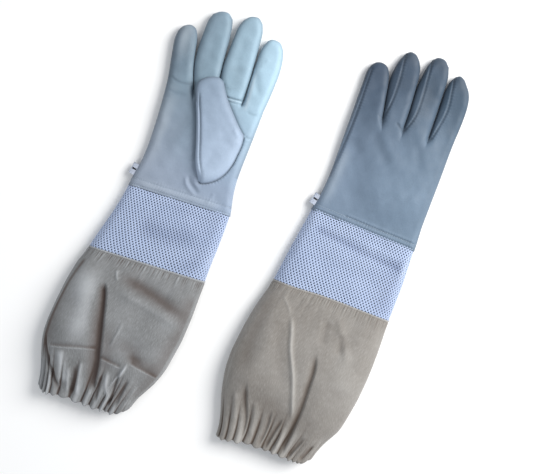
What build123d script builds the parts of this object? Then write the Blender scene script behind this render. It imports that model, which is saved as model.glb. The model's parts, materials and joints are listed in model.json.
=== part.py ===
"""A pair of ventilated beekeeping gloves laid flat: the right one palm up, the left one palm down.

Each glove is a leather hand with four fingers and a folded-in thumb, a mesh sleeve, and a canvas gauntlet that
is gathered onto the mesh and ends in an elasticated hem. Millimetres, +Z up off the surface, +Y towards the
fingertips, +X from the little finger to the index finger. The origin is the middle of the pair's footprint.
"""

from build123d import *
from copy import copy
from math import asin, cos, degrees, radians, sin, tan
import os

os.makedirs("parts", exist_ok=True)

# Materials.
leather = 1.2
mesh_wall = 1.5
canvas = 1.2
band_wall = 1.6
elastic_thickness = 1.0
label_thickness = 0.8

# Clearances, and how far a cutting outline runs past what it cuts.
joint_gap = 0.4
sewn_gap = 0.3
casing_gap = 0.3
past = 5.0

# The flattened hand.
hand_depth = 14.0
finger_depth = 12.5
thumb_depth = 9.0
finger_root = 130.0
crotch = 126.0
front_seam = 120.0
hem_length = 11.0

# The thumb, a tapered sleeve round the hole it is sewn into.
thumb_x = 22.0
thumb_y = 62.0
thumb_base_radius = 23.0
thumb_tip_radius = 12.5
thumb_length = 79.0
thumb_angle = 24.0
thumb_hole_radius = 17.0
left_thumb_depth = 8.5

# The gather band between mesh and canvas, and the hem that holds the elastic.
band_length = 11.0
band_lap = 8.0
casing_wall = 1.0
elastic_width = 10.0
corner_share = 0.42

# The label loop sewn into the little-finger edge.
label_width = 8.5
label_height = 14.0

# How the two gloves lie: turn about +Z, and where each wrist seam's middle is.
right_turn = 2.5
left_turn = -2.5
left_right_spacing = 204.0
left_forward = 40.0

# Fingers: middle at the root line, root width, tip width, length past the bend, lean, distance of the bend.
right_fingers = {
    "little": dict(x=-46.5, root=27.0, tip=22.0, length=57.0, lean=9.0, bend=140.0),
    "ring": dict(x=-17.6, root=27.4, tip=24.0, length=68.0, lean=3.0, bend=156.0),
    "middle": dict(x=13.2, root=30.0, tip=26.0, length=72.0, lean=0.0, bend=156.0),
    "index": dict(x=45.0, root=27.4, tip=25.0, length=62.0, lean=-0.5, bend=148.0),
}
left_fingers = {
    "little": dict(x=-47.5, root=27.0, tip=23.0, length=47.0, lean=3.0, bend=140.0),
    "ring": dict(x=-18.5, root=27.6, tip=24.0, length=54.0, lean=2.5, bend=158.0),
    "middle": dict(x=12.0, root=29.0, tip=25.0, length=60.0, lean=1.0, bend=158.0),
    "index": dict(x=46.0, root=28.0, tip=24.0, length=49.0, lean=4.5, bend=158.0),
}

# Edges of the leather hand between the wrist seam and the knuckles.
right_little_edge = [(-67.0, 0.0), (-63.0, 24.0), (-60.0, 50.0), (-60.0, crotch)]
right_index_edge = [(58.5, crotch), (53.0, 72.0), (51.5, 34.0), (56.0, 0.0)]
left_little_edge = [(-63.0, 0.0), (-60.0, 24.0), (-60.0, 70.0), (-61.0, crotch)]
left_index_edge = [(60.0, crotch), (61.0, 80.0), (63.0, 34.0), (66.0, 0.0)]

# The mesh and the canvas are tubes through stations: distance along the glove, two edges, underside and top.
right_mesh = [
    (0.0, -67.0, 56.0, 0.0, hand_depth),
    (-42.0, -77.0, 53.5, band_wall, 17.0),
    (-88.0, -90.0, 50.5, band_wall, 21.0),
]
right_canvas = [
    (-92.0, -92.0, 51.0, 0.0, 22.0),
    (-125.0, -102.0, 50.0, 0.0, 32.0),
    (-170.0, -108.5, 43.0, 0.0, 36.0),
    (-210.0, -106.5, 31.5, 0.0, 34.0),
    (-246.0, -97.0, 14.0, 0.0, 27.0),
]
left_lift = left_thumb_depth + sewn_gap
left_mesh = [
    (0.0, -63.0, 66.0, left_lift, left_lift + hand_depth),
    (-42.0, -68.0, 68.5, band_wall, 19.0),
    (-90.0, -73.0, 69.0, band_wall, 21.0),
]
left_canvas = [
    (-95.0, -74.0, 69.5, 0.0, 22.0),
    (-130.0, -81.0, 71.5, 0.0, 32.0),
    (-185.0, -86.0, 70.5, 0.0, 36.0),
    (-232.0, -80.0, 63.0, 0.0, 34.0),
    (-272.0, -66.0, 48.0, 0.0, 27.0),
]

right = dict(
    side="right",
    palm_up=True,
    at=(0.0, 0.0),
    turn=right_turn,
    low=0.0,
    thumb_low=hand_depth + sewn_gap,
    thumb_depth=thumb_depth,
    fingers=right_fingers,
    little_edge=right_little_edge,
    index_edge=right_index_edge,
    mesh=right_mesh,
    canvas=right_canvas,
    label_at=(-65.0, 20.0, hand_depth),
)
left = dict(
    side="left",
    palm_up=False,
    at=(left_right_spacing, left_forward),
    turn=left_turn,
    low=left_lift,
    thumb_low=0.0,
    thumb_depth=left_thumb_depth,
    fingers=left_fingers,
    little_edge=left_little_edge,
    index_edge=left_index_edge,
    mesh=left_mesh,
    canvas=left_canvas,
    label_at=(-67.0, 14.0, left_lift + hand_depth / 2),
)
gloves = [right, left]


def heading(glove, lean=0.0):
    """Unit vectors across and along the glove, or along one of its leaning pieces."""
    angle = radians(glove["turn"] + lean)
    return Vector(cos(angle), sin(angle), 0), Vector(-sin(angle), cos(angle), 0)


def spot(glove, x, y, z):
    """A point of the glove's own plan, in the pair's frame."""
    across, along = heading(glove)
    return Vector(glove["at"][0], glove["at"][1], z) + across * x + along * y


def lying(glove, x=0.0, y=0.0, z=0.0, lean=0.0, droop=0.0):
    """A plane that lies on the glove, turned by its lean and tipped down along its length by its droop."""
    across, along = heading(glove, lean)
    normal = along * sin(radians(droop)) + Vector(0, 0, 1) * cos(radians(droop))
    return Plane(origin=spot(glove, x, y, z), x_dir=across, z_dir=normal)


def standing(glove, station):
    """The upright plane through the middle of a tube's station, looking back along the glove."""
    distance, little, index, low, top = station
    across, along = heading(glove)
    return Plane(origin=spot(glove, (little + index) / 2, distance, (low + top) / 2), x_dir=across, z_dir=-along)


def finger_middle(finger, distance):
    """Where a finger's middle line is across the glove at a distance from the wrist."""
    return finger["x"] - (distance - finger_root) * tan(radians(finger["lean"]))


def finger_droop(glove, finger):
    """The angle at which a raised finger comes down onto the surface at its tip."""
    return degrees(asin(glove["low"] / finger["length"]))


def layers(glove):
    """Heights of the undersides of the palm-side and back-side panels of the hand."""
    lower = glove["low"]
    upper = glove["low"] + hand_depth - leather
    return (upper, lower) if glove["palm_up"] else (lower, upper)


def hand_plan(glove, extra=0.0):
    """The outline of the hand with its finger roots, longer by extra at its open ends."""
    little_x, index_x = glove["little_edge"][0][0], glove["index_edge"][-1][0]
    with BuildSketch() as plan:
        with BuildLine():
            Polyline(*glove["little_edge"], *glove["index_edge"], close=True)
        make_face()
        if extra:
            with Locations(((little_x + index_x) / 2, -extra / 2)):
                Rectangle(index_x - little_x, extra)
        for finger in glove["fingers"].values():
            start, end = crotch - 2 * past, finger["bend"] + extra
            middle = (start + end) / 2
            with Locations(Location((finger_middle(finger, middle), middle), finger["lean"])):
                Rectangle(finger["root"], (end - start) / cos(radians(finger["lean"])))
    return plan.sketch


def gap_mask(glove, first, second, start):
    """The strip from the middle of one finger to the middle of the next, from a distance onwards."""
    first, second = glove["fingers"][first], glove["fingers"][second]
    end = max(first["bend"], second["bend"]) + past
    with BuildSketch() as mask:
        with BuildLine():
            Polyline(
                (finger_middle(first, start), start),
                (finger_middle(first, end), end),
                (finger_middle(second, end), end),
                (finger_middle(second, start), start),
                close=True,
            )
        make_face()
    return mask.sketch


def front_mask(glove):
    """The strip that holds the roots of the ring and middle fingers beyond the seam across the palm."""
    fingers = glove["fingers"]
    edges = []
    for outer, inner in (("little", "ring"), ("middle", "index")):
        for distance in (front_seam, fingers["middle"]["bend"] + past):
            between = (finger_middle(fingers[outer], distance) + fingers[outer]["root"] / 2)
            between += finger_middle(fingers[inner], distance) - fingers[inner]["root"] / 2
            edges.append((between / 2, distance))
    with BuildSketch() as mask:
        with BuildLine():
            Polyline(edges[0], edges[1], edges[3], edges[2], close=True)
        make_face()
    return mask.sketch


def hand_walls(glove):
    """The outline's wall, open at the wrist and at the bend of each finger."""
    longer = hand_plan(glove, past)
    return (longer - offset(longer, -leather)) & hand_plan(glove)


def finger_plan(finger, start=0.0, inset=0.0):
    """A finger from its bend to its round tip, about its own middle line."""
    root, tip = finger["root"] / 2 - inset, finger["tip"] / 2 - inset
    shoulder = finger["length"] - finger["tip"] / 2
    with BuildSketch() as plan:
        with BuildLine():
            outer = Polyline((-tip, shoulder), (-root, start), (root, start), (tip, shoulder))
            ThreePointArc(outer @ 1, (0.0, finger["length"] - inset), outer @ 0)
        make_face()
    return plan.sketch


def thumb_plan(inset=0.0):
    """The thumb about the middle of its sewn base, pointing along +Y."""
    with BuildSketch() as plan:
        with BuildLine():
            CenterArc((0, 0), thumb_base_radius - inset, 0, 360)
            CenterArc((0, thumb_length), thumb_tip_radius - inset, 0, 360)
        make_hull()
    return plan.sketch


def slab(plan, plane, depth):
    """A plan raised by a depth from the plane that it lies on."""
    with BuildPart() as piece:
        with BuildSketch(plane):
            add(plan)
        extrude(amount=depth)
    return piece.part


def tube(glove, stations, inner, outer=0.0):
    """A flattened sleeve through its stations, between an inner and an outer inset from them."""
    with BuildPart() as piece:
        for inset, mode in ((outer, Mode.ADD), (inner, Mode.SUBTRACT)):
            for station in stations:
                distance, little, index, low, top = station
                height = top - low - 2 * inset
                with BuildSketch(standing(glove, station)):
                    RectangleRounded(index - little - 2 * inset, height, height * corner_share)
            loft(ruled=True, mode=mode)
    return piece.part


def finger_plane(glove, finger, height):
    """The plane of one of a finger's layers, from its bend to its tip."""
    droop = finger_droop(glove, finger)
    across_gap = finger["bend"] + joint_gap
    low = lying(glove, finger_middle(finger, across_gap), across_gap, glove["low"], finger["lean"], droop)
    return low.offset(height)


def finger_pieces(glove, name):
    """The front, the back and the fourchette walls of one finger beyond its bend."""
    finger = glove["fingers"][name]
    whole = finger_plan(finger)
    longer = finger_plan(finger, -past)
    inner = finger_plan(finger, -past, leather)
    upper, lower = finger_depth - leather, 0.0
    front, back = (upper, lower) if glove["palm_up"] else (lower, upper)
    yield "front", slab(whole, finger_plane(glove, finger, front), leather)
    yield "back", slab(whole, finger_plane(glove, finger, back), leather)
    walls = (longer - inner) & whole
    yield "fourchette", slab(walls, finger_plane(glove, finger, leather), finger_depth - 2 * leather)


def thumb_pieces(glove):
    """The thumb's outer piece, with its folded edges, and its inner piece with the hole into the palm."""
    plan, inner = thumb_plan(), thumb_plan(leather)
    depth, low = glove["thumb_depth"], glove["thumb_low"]
    outside, inside = (low + depth - leather, low) if glove["palm_up"] else (low, low + depth - leather)
    flat = lying(glove, thumb_x, thumb_y, 0.0, thumb_angle)
    with BuildPart() as outer_piece:
        with BuildSketch(flat.offset(outside)):
            add(plan)
        extrude(amount=leather)
        with BuildSketch(flat.offset(low + leather)):
            add(plan)
            add(inner, mode=Mode.SUBTRACT)
        extrude(amount=depth - 2 * leather)
    yield "thumb_outer", outer_piece.part
    with BuildPart() as inner_piece:
        with BuildSketch(flat.offset(inside)):
            add(plan)
            Circle(thumb_hole_radius, mode=Mode.SUBTRACT)
        extrude(amount=leather)
    yield "thumb_inner", inner_piece.part


def hand_pieces(glove):
    """The palm, the back, the ring and middle front, the fourchettes and the hem of the hand."""
    plan, walls = hand_plan(glove), hand_walls(glove)
    palm, back = layers(glove)
    between, depth = glove["low"] + leather, hand_depth - 2 * leather
    front = front_mask(glove)
    gaps = {
        "little_ring": gap_mask(glove, "little", "ring", crotch - past),
        "ring_middle": gap_mask(glove, "ring", "middle", crotch - past),
        "middle_index": gap_mask(glove, "middle", "index", crotch - past),
    }
    with BuildPart() as palm_panel:
        with BuildSketch(lying(glove, z=palm)):
            add(plan)
            add(front, mode=Mode.SUBTRACT)
            with Locations((thumb_x, thumb_y)):
                Circle(thumb_hole_radius, mode=Mode.SUBTRACT)
        extrude(amount=leather)
        with BuildSketch(lying(glove, z=between)):
            add(walls)
            for mask in gaps.values():
                add(mask, mode=Mode.SUBTRACT)
        extrude(amount=depth)
    yield "palm_panel", palm_panel.part
    yield "ring_middle_front", slab(plan & front, lying(glove, z=palm), leather)
    yield "back_panel", slab(plan, lying(glove, z=back), leather)
    for name, mask in gaps.items():
        yield f"fourchette_{name}", slab(walls & mask, lying(glove, z=between), depth)
    longer = hand_plan(glove, past)
    lining, hollow = offset(longer, -leather), offset(longer, -2 * leather)
    with BuildSketch() as zone:
        with Locations((0, hem_length / 2)):
            Rectangle(4 * hem_length + glove["index_edge"][0][0] * 2, hem_length)
    with BuildPart() as hem:
        with BuildSketch(lying(glove, z=between)):
            add(lining & zone.sketch)
        extrude(amount=depth)
        with BuildSketch(lying(glove, z=between + leather)):
            add(hollow & zone.sketch)
        extrude(amount=depth - 2 * leather, mode=Mode.SUBTRACT)
    yield "wrist_hem", hem.part
    with BuildPart() as label:
        x, y, z = glove["label_at"]
        with BuildSketch(lying(glove, x, y, z)):
            Rectangle(label_width, label_height)
        extrude(amount=label_thickness)
    yield "label_loop", label.part


def halfway(first, second, distance):
    """The station of a tube at a distance between two of its stations."""
    share = (distance - first[0]) / (second[0] - first[0])
    return (distance, *[a + (b - a) * share for a, b in zip(first[1:], second[1:])])


def mesh_pieces(glove):
    """The two halves of the mesh sleeve, either side of the line where the glove folds."""
    wrist, fold, end = glove["mesh"]
    yield "mesh_upper", tube(glove, [wrist, halfway(wrist, fold, fold[0] + joint_gap)], mesh_wall)
    yield "mesh_lower", tube(glove, [fold, end], mesh_wall)


def gauntlet_pieces(glove):
    """The gather band round the mesh, the canvas gauntlet, its hem casing and the elastic in it."""
    fold, end = glove["mesh"][1:]
    start, last = glove["canvas"][0], glove["canvas"][-1]
    band = [halfway(fold, end, end[0] + band_lap), halfway(fold, end, start[0])]
    yield "gather_band", tube(glove, band, 0.0, -band_wall)
    yield "gauntlet", tube(glove, glove["canvas"], canvas)
    channel = elastic_thickness + 2 * casing_gap
    reach = [0.0, -casing_wall, -casing_wall - casing_gap]
    reach += [step - elastic_width for step in (-casing_wall - casing_gap, -casing_wall - 2 * casing_gap)]
    reach.append(-2 * (casing_wall + casing_gap) - elastic_width)
    hem = [(last[0] + step, *last[1:]) for step in reach]
    with BuildPart() as casing:
        add(tube(glove, [hem[0], hem[5]], 2 * casing_wall + channel))
        add(tube(glove, [hem[1], hem[4]], casing_wall + channel, casing_wall), mode=Mode.SUBTRACT)
    yield "hem_casing", casing.part
    inset = casing_wall + casing_gap
    yield "hem_elastic", tube(glove, [hem[2], hem[3]], inset + elastic_thickness, inset)


def glove_pieces(glove):
    """Every piece of one glove with its name."""
    for makers in (hand_pieces, thumb_pieces, mesh_pieces, gauntlet_pieces):
        yield from makers(glove)
    for name in glove["fingers"]:
        for kind, piece in finger_pieces(glove, name):
            yield f"{name}_{kind}", piece


pieces = {f"{glove['side']}_{name}": piece for glove in gloves for name, piece in glove_pieces(glove)}
footprint = Compound(children=[copy(piece) for piece in pieces.values()]).bounding_box()
centre = footprint.center()
to_origin = Location((-centre.X, -centre.Y, 0.0))

for name, piece in pieces.items():
    part = piece.moved(to_origin)
    part.label = name
    export_step(part, f"parts/{name}.step")
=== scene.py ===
"""The looks of a pair of ventilated beekeeping gloves laid flat, the right one palm up, the left palm down.

Shapes are worked out in each glove's own plan, in millimetres: x from the little finger to the index finger,
y from the wrist seam to the fingertips, z up off the surface. The plan is placed by the CAD joints.
"""
import bpy
import json
import numpy as np
from math import cos, hypot, pi, radians, sin
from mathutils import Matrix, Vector


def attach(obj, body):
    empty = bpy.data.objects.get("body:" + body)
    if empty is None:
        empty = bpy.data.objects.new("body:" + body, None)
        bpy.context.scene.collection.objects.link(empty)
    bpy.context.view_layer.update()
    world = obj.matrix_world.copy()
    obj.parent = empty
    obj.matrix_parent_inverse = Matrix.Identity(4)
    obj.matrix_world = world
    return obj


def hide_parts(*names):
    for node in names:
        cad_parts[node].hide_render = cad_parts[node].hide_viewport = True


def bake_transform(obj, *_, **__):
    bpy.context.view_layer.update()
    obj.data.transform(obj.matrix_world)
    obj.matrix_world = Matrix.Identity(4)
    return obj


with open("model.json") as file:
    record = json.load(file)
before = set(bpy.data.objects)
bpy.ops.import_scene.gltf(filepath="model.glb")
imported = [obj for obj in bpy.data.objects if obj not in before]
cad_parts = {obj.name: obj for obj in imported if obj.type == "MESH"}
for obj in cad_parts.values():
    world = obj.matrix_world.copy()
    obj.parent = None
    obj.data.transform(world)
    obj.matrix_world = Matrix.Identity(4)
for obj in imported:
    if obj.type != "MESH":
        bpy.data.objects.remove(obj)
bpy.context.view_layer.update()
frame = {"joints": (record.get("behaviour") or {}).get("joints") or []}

MM = 0.001
THUMB_PIVOT = (22.0, 62.0)      # where the thumb's base is sewn in, in the glove's plan
THUMB_LEAN = radians(24)        # how far the thumb leans towards the little finger
WELD_GRID = 2000                # steps to a millimetre within which points count as one
JOINTS = {joint["name"]: joint for joint in frame["joints"]}
SKIN = {"right": "palm", "left": "back"}                        # the leather that shows on top


# ---------------------------------------------------------------- placing the plans

class Plan:
    """A glove's own plan, placed by the axis of its wrist fold and the pivot of its thumb."""

    def __init__(self, side):
        self.side = side
        across = JOINTS[f"{side}_wrist_fold"]["axis"]
        pivot = JOINTS[f"{side}_thumb_swing"]["pos_m"]
        self.across = np.array(across[:2])
        self.along = np.array([-across[1], across[0]])
        self.origin = np.array(pivot[:2]) - MM * (THUMB_PIVOT[0] * self.across + THUMB_PIVOT[1] * self.along)

    def place(self, points):
        """Plan millimetres to metres in the frame."""
        points = np.asarray(points, float)
        flat = self.origin + MM * (points[:, :1] * self.across + points[:, 1:2] * self.along)
        return np.column_stack([flat, MM * points[:, 2]])

    def spot(self, x, y, z):
        """One place in the plan, in metres in the frame."""
        return Vector(self.place([(x, y, z)])[0])

    def back(self, position):
        """A place in the frame, in metres, to plan millimetres."""
        flat = (np.array(position[:2]) - self.origin) / MM
        return np.array([flat @ self.across, flat @ self.along, position[2] / MM])


# ---------------------------------------------------------------- curves and fields

def smooth_line(points, step=1.5, closed=False):
    """A centripetal curve through a few points, as points a step apart."""
    p = np.asarray(points, float)
    p = np.vstack([p[-1], p, p[0], p[1]]) if closed else np.vstack([2 * p[0] - p[1], p, 2 * p[-1] - p[-2]])
    out = []
    for a, b, c, d in zip(p[:-3], p[1:-2], p[2:-1], p[3:]):
        t1 = hypot(*(b - a)) ** 0.5
        t2 = t1 + hypot(*(c - b)) ** 0.5
        t3 = t2 + hypot(*(d - c)) ** 0.5
        t = np.linspace(t1, t2, max(2, int(hypot(*(c - b)) / step) + 1))[:-1, None]
        ab = (t1 - t) / t1 * a + t / t1 * b
        bc = (t2 - t) / (t2 - t1) * b + (t - t1) / (t2 - t1) * c
        cd = (t3 - t) / (t3 - t2) * c + (t - t2) / (t3 - t2) * d
        abc = (t2 - t) / t2 * ab + t / t2 * bc
        bcd = (t3 - t) / (t3 - t1) * bc + (t - t1) / (t3 - t1) * cd
        out.append((t2 - t) / (t2 - t1) * abc + (t - t1) / (t2 - t1) * bcd)
    if not closed:
        out.append(p[-2][None])
    return np.vstack(out)


def nearest(points, line, closed=False):
    """Each point's distance to a line, the nearest place on it, and how far along it that is."""
    ends = np.roll(line, -1, 0) if closed else line[1:]
    starts = line if closed else line[:-1]
    runs = ends - starts
    lengths = np.hypot(*runs.T)
    before = np.concatenate([[0], np.cumsum(lengths)[:-1]])
    distance, place, along = [], [], []
    for part in np.array_split(points, max(1, len(points) * len(starts) // 2000000)):
        t = np.einsum("nsk,sk->ns", part[:, None] - starts, runs) / np.maximum(lengths**2, 1e-12)
        t = np.clip(t, 0, 1)
        spots = starts + t[..., None] * runs
        d = np.hypot(*(part[:, None] - spots).transpose(2, 0, 1))
        best = d.argmin(1)
        rows = np.arange(len(part))
        distance.append(d[rows, best])
        place.append(spots[rows, best])
        along.append(before[best] + t[rows, best] * lengths[best])
    return np.concatenate(distance), np.vstack(place), np.concatenate(along)


def within(points, line):
    """Which points lie inside a closed line."""
    inside = np.zeros(len(points), bool)
    x, y = points.T
    for (ax, ay), (bx, by) in zip(line, np.roll(line, -1, 0)):
        if ay == by:
            continue
        crosses = (ay > y) != (by > y)
        inside ^= crosses & (x < (bx - ax) * (y - ay) / (by - ay) + ax)
    return inside


def depth_inside(points, line):
    """Distance in from a closed line, negative outside it, and the nearest place on it."""
    distance, place, _ = nearest(points, line, closed=True)
    return np.where(within(points, line), distance, -distance), place


def smoothstep(value, low, high):
    """0 below low and 1 above high, eased between them. It falls where high is the lesser."""
    t = np.clip((value - low) / (high - low), 0, 1)
    return t * t * (3 - 2 * t)


def ripple(points, wavelength, seed, waves=7):
    """A smooth wandering field of about one, the same each run."""
    random = np.random.default_rng(seed)
    total = np.zeros(len(points))
    for _ in range(waves):
        angle = random.uniform(0, 2 * pi)
        length = wavelength * random.uniform(0.7, 1.5)
        phase = random.uniform(0, 2 * pi)
        run = points[:, 0] * cos(angle) + points[:, 1] * sin(angle)
        total += np.sin(2 * pi * run / length + phase)
    return total / waves**0.5


def round_edge(depth, radius, fullness=0.5):
    """How far a puffed edge has risen at a depth in from the outline, from 0 to 1."""
    return (1 - (1 - np.clip(depth / radius, 0, 1)) ** 2) ** fullness


class Mark:
    """A fold, dent, seam or ridge along a curve in the plan, with its tone painted along it: shade above 0, a
    highlight below. Some have no rise and are painted light alone.
    """

    def __init__(self, points, height, width, ends=0.25, lean=1.0, pucker=0.0, tone=0.0):
        self.line = smooth_line(points, 2.0) if len(points) > 2 else np.array(points, float)
        self.height, self.width, self.ends = height, width, ends
        self.lean, self.pucker, self.tone = lean, pucker, tone
        self.length = np.hypot(*np.diff(self.line, axis=0).T).sum()

    def field(self, points):
        """Its rise and its tone at each point: painted shade where the tone is above 0, a painted highlight
        where below.
        """
        low = self.line.min(0) - 5 * self.width - 6
        high = self.line.max(0) + 5 * self.width + 6
        close = np.all((points > low) & (points < high), 1)
        rise, tone = np.zeros(len(points)), np.zeros(len(points))
        if not close.any():
            return rise, tone
        p = points[close]
        distance, place, along = nearest(p, self.line)
        share = along / self.length
        taper = 1.0
        if self.ends:
            taper = smoothstep(share, -0.001, self.ends) * smoothstep(1 - share, -0.001, self.ends)
        if self.lean != 1.0:
            # A fold laid over: its index or fingertip side is abrupt for a lean below 1, gradual above it.
            span = np.abs(self.line[-1] - self.line[0])
            beyond = (p - place)[:, 0 if span[1] > span[0] else 1] > 0
            distance = np.where(beyond, distance / self.lean, distance)
        value = self.height * np.exp(-((distance / self.width) ** 2))
        if self.pucker:
            wave = np.sin(2 * pi * along / 3.4 + 1.3 * np.sin(along / 9))
            value += self.pucker * wave * np.exp(-((distance - 1.6) / 2.2) ** 2)
        rise[close] = value * taper
        # The tone is painted shade where above 0 and a painted highlight where below 0.
        tone[close] = self.tone * np.exp(-((distance / (0.8 * self.width)) ** 2)) * taper
        return rise, tone


def seam(points, depth=0.9, width=0.9, pucker=0.16, tone=0.5, ends=0.02):
    """A sewn line: a fine groove with the leather puckered beside it and painted shade in the groove."""
    return Mark(points, -depth, width, ends=ends, pucker=pucker, tone=tone)


def marks_at(points, marks):
    """The rise and the tone, painted shade and highlight, of all the marks together at each point."""
    rise, tone = np.zeros(len(points)), np.zeros(len(points))
    for mark in marks:
        r, t = mark.field(points)
        rise += r
        tone += t
    return rise, np.clip(tone, -1, 1.2)


# ---------------------------------------------------------------- meshes

def quads(rows, columns, start=0, wrap=False, flip=False):
    """The faces of a grid of points, row by row."""
    index = start + np.arange(rows * columns).reshape(rows, columns)
    if wrap:
        index = np.column_stack([index, index[:, :1]])
    faces = np.stack([index[:-1, :-1], index[:-1, 1:], index[1:, 1:], index[1:, :-1]], -1).reshape(-1, 4)
    return faces[:, ::-1] if flip else faces


def normals_of(points, faces):
    """Each point's normal, from the faces around it."""
    a, b, c, d = (points[faces[:, i]] for i in range(4))
    across = np.cross(c - a, d - b)
    total = np.zeros_like(points)
    for i in range(4):
        np.add.at(total, faces[:, i], across)
    return total / np.maximum(np.linalg.norm(total, axis=1, keepdims=True), 1e-9)


def weld(points, faces, *fields):
    """Points at one place become one."""
    places = np.round(points * WELD_GRID).astype(np.int64)
    _, first, back = np.unique(places, axis=0, return_index=True, return_inverse=True)
    return (points[first], back.reshape(-1)[faces], *(field[first] for field in fields))


def piece(name, plan, points, faces, material, cloth=None, tone=None, normals=None):
    """A mesh object from plan millimetres, with its cloth coordinates and its tone, painted shade and
    highlight, kept on its points.
    """
    mesh = bpy.data.meshes.new(name)
    mesh.from_pydata(plan.place(points).tolist(), [], [tuple(face) for face in np.asarray(faces).tolist()])
    mesh.update()
    mesh.polygons.foreach_set("use_smooth", [True] * len(mesh.polygons))
    cloth = points if cloth is None else cloth
    mesh.attributes.new("cloth", "FLOAT_VECTOR", "POINT").data.foreach_set("vector", np.ravel(cloth))
    shade = np.zeros(len(points)) if tone is None else tone
    mesh.attributes.new("tone", "FLOAT", "POINT").data.foreach_set("value", shade)
    if normals is not None:
        turned = np.column_stack([normals[:, :1] * plan.across + normals[:, 1:2] * plan.along, normals[:, 2]])
        mesh.normals_split_custom_set_from_vertices(turned.tolist())
    mesh.materials.append(material)
    thing = bpy.data.objects.new(name, mesh)
    bpy.context.scene.collection.objects.link(thing)
    return thing


def split(whole, share):
    """A part of a welded shell, with the normals of the whole so that no seam shows."""
    points, faces, normals, tone = whole
    used, back = np.unique(faces[share], return_inverse=True)
    return points[used], back.reshape(-1, 4), normals[used], tone[used]


# ---------------------------------------------------------------- the plans of the leather

ROOT = 128.0        # where the palm becomes four fingers
HANDS = {
    "right": {
        "little_edge": [(-67.5, 0), (-65, 15), (-61.5, 30), (-59.5, 50), (-59, 70), (-59, 90),
            (-59.6, 110), (-60.5, 128)],
        "index_edge": [(56.3, 0), (54.3, 12), (52.2, 25), (51.2, 40), (52, 60), (53.3, 78), (54.5, 95),
            (56.5, 128)],
        "little": (
            [(-60.5, 128), (-62, 140), (-65, 160), (-67, 178), (-66, 187)],
            [(-66, 187), (-62, 194), (-54, 198), (-47.5, 196), (-43.5, 190)],
            [(-28.3, 128), (-31.4, 137), (-34.6, 147), (-37.2, 158), (-39.4, 170), (-41.3, 182),
                (-43.5, 190)],
        ),
        "ring": (
            [(-28.3, 128), (-31.1, 137), (-34.2, 147), (-36.8, 158), (-38, 174), (-37.4, 195),
                (-36, 210), (-33, 218)],
            [(-33, 218), (-25, 223.3), (-16, 223.8), (-9.5, 218)],
            [(-1.8, 128), (-2.8, 140), (-3.6, 152), (-4.6, 165), (-5.4, 180), (-6.2, 197), (-7.5, 209),
                (-9.5, 218)],
        ),
        "middle": (
            [(-1.8, 128), (-2.4, 140), (-3.2, 152), (-4.1, 165), (-3.2, 182), (-2, 200), (-0.8, 212),
                (3, 222)],
            [(3, 222), (10, 228), (19, 228.8), (25, 223.5)],
            [(30.2, 128), (30.4, 140), (30.4, 160), (29.9, 180), (29, 200), (28, 214), (25, 223.5)],
        ),
        "index": (
            [(30.2, 128), (31, 140), (31, 160), (31.3, 180), (32.5, 196), (36.5, 206.5)],
            [(36.5, 206.5), (41, 210), (51, 208.8), (57, 201.5)],
            [(56.5, 128), (58.4, 143), (60, 160), (60.8, 175), (59.8, 190), (57, 201.5)],
        ),
    },
    "left": {
        "little_edge": [(-63.5, 0), (-61.5, 10), (-59.6, 22), (-58.6, 40), (-59, 60), (-60, 80),
            (-61, 100), (-62.3, 128)],
        "index_edge": [(66, 0), (65, 12), (63.5, 28), (62.6, 50), (61.8, 75), (61, 100), (60.3, 128)],
        "little": (
            [(-62.3, 128), (-63, 140), (-64, 160), (-64.5, 173), (-62.5, 181)],
            [(-62.5, 181), (-58, 186), (-52, 187.8), (-45, 186), (-40.5, 181)],
            [(-27.3, 128), (-30, 140), (-32.6, 152), (-35.2, 165), (-37.7, 174), (-40.5, 181)],
        ),
        "ring": (
            [(-27.3, 128), (-29.6, 140), (-32.2, 152), (-34.8, 165), (-36.6, 178), (-36, 190),
                (-34, 200), (-30.5, 208.5)],
            [(-30.5, 208.5), (-26, 212), (-19, 211.3), (-13, 206)],
            [(-0.5, 128), (-1.2, 140), (-2.2, 152), (-3.4, 165), (-4.6, 178), (-6.2, 190), (-8.8, 199),
                (-13, 206)],
        ),
        "middle": (
            [(-0.5, 128), (-0.8, 140), (-1.8, 152), (-3, 165), (-3.8, 177), (-3.4, 190), (-2, 204),
                (1, 213.5)],
            [(1, 213.5), (6, 218), (14, 218.3), (21.5, 212)],
            [(30.6, 128), (30, 140), (29.2, 155), (28, 172), (26.8, 188), (25.2, 201), (21.5, 212)],
        ),
        "index": (
            [(30.6, 128), (30.4, 140), (29.8, 155), (28.7, 172), (27.8, 186), (29.5, 198), (33, 205)],
            [(33, 205), (37.5, 207.8), (43, 206), (48.5, 200.5)],
            [(60.3, 128), (60.3, 140), (60.3, 160), (59.3, 176), (57, 187), (53.5, 194.5), (48.5, 200.5)],
        ),
    },
}
FINGERS = ("little", "ring", "middle", "index")
THUMB = (
    [(9, 28), (0, 47), (-8, 75), (-15, 98), (-20, 112), (-25, 128)],
    [(-25, 128), (-24.6, 136), (-20, 142), (-12, 146.5), (-3, 148), (3, 145)],
    [(44, 93), (35, 101.5), (25, 113), (16, 124), (9, 134.5), (3, 145)],
    [(9, 28), (13, 26.5), (19, 28.5), (26, 33), (32, 39), (37, 47), (41, 58), (43, 70), (44.4, 81),
        (44, 93)],
)
ACROSS = 31         # points across each finger
FINGER_ROWS = 88    # points along each finger
EDGE_RADIUS = 8.5   # how far in from the outline the leather has puffed up
MIDDLE = 5.6        # height of the side seams, where front and back meet
HEM_UP = np.array([6, 4, 2, 0.7, 0.1])          # the wrist hem's turned rows: how far up inside each lies
HEM_IN = np.array([1.5, 1.5, 1.4, 1.2, 0.7])    # and how far in from the leather
THUMB_GRID = (104, 46)      # points along and across the thumb


def spread(count, pull=0.45):
    """Shares from 0 to 1, closer together near both ends."""
    even = np.linspace(0, 1, count)
    return (1 - pull) * even + pull * (1 - np.cos(pi * even)) / 2


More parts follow.
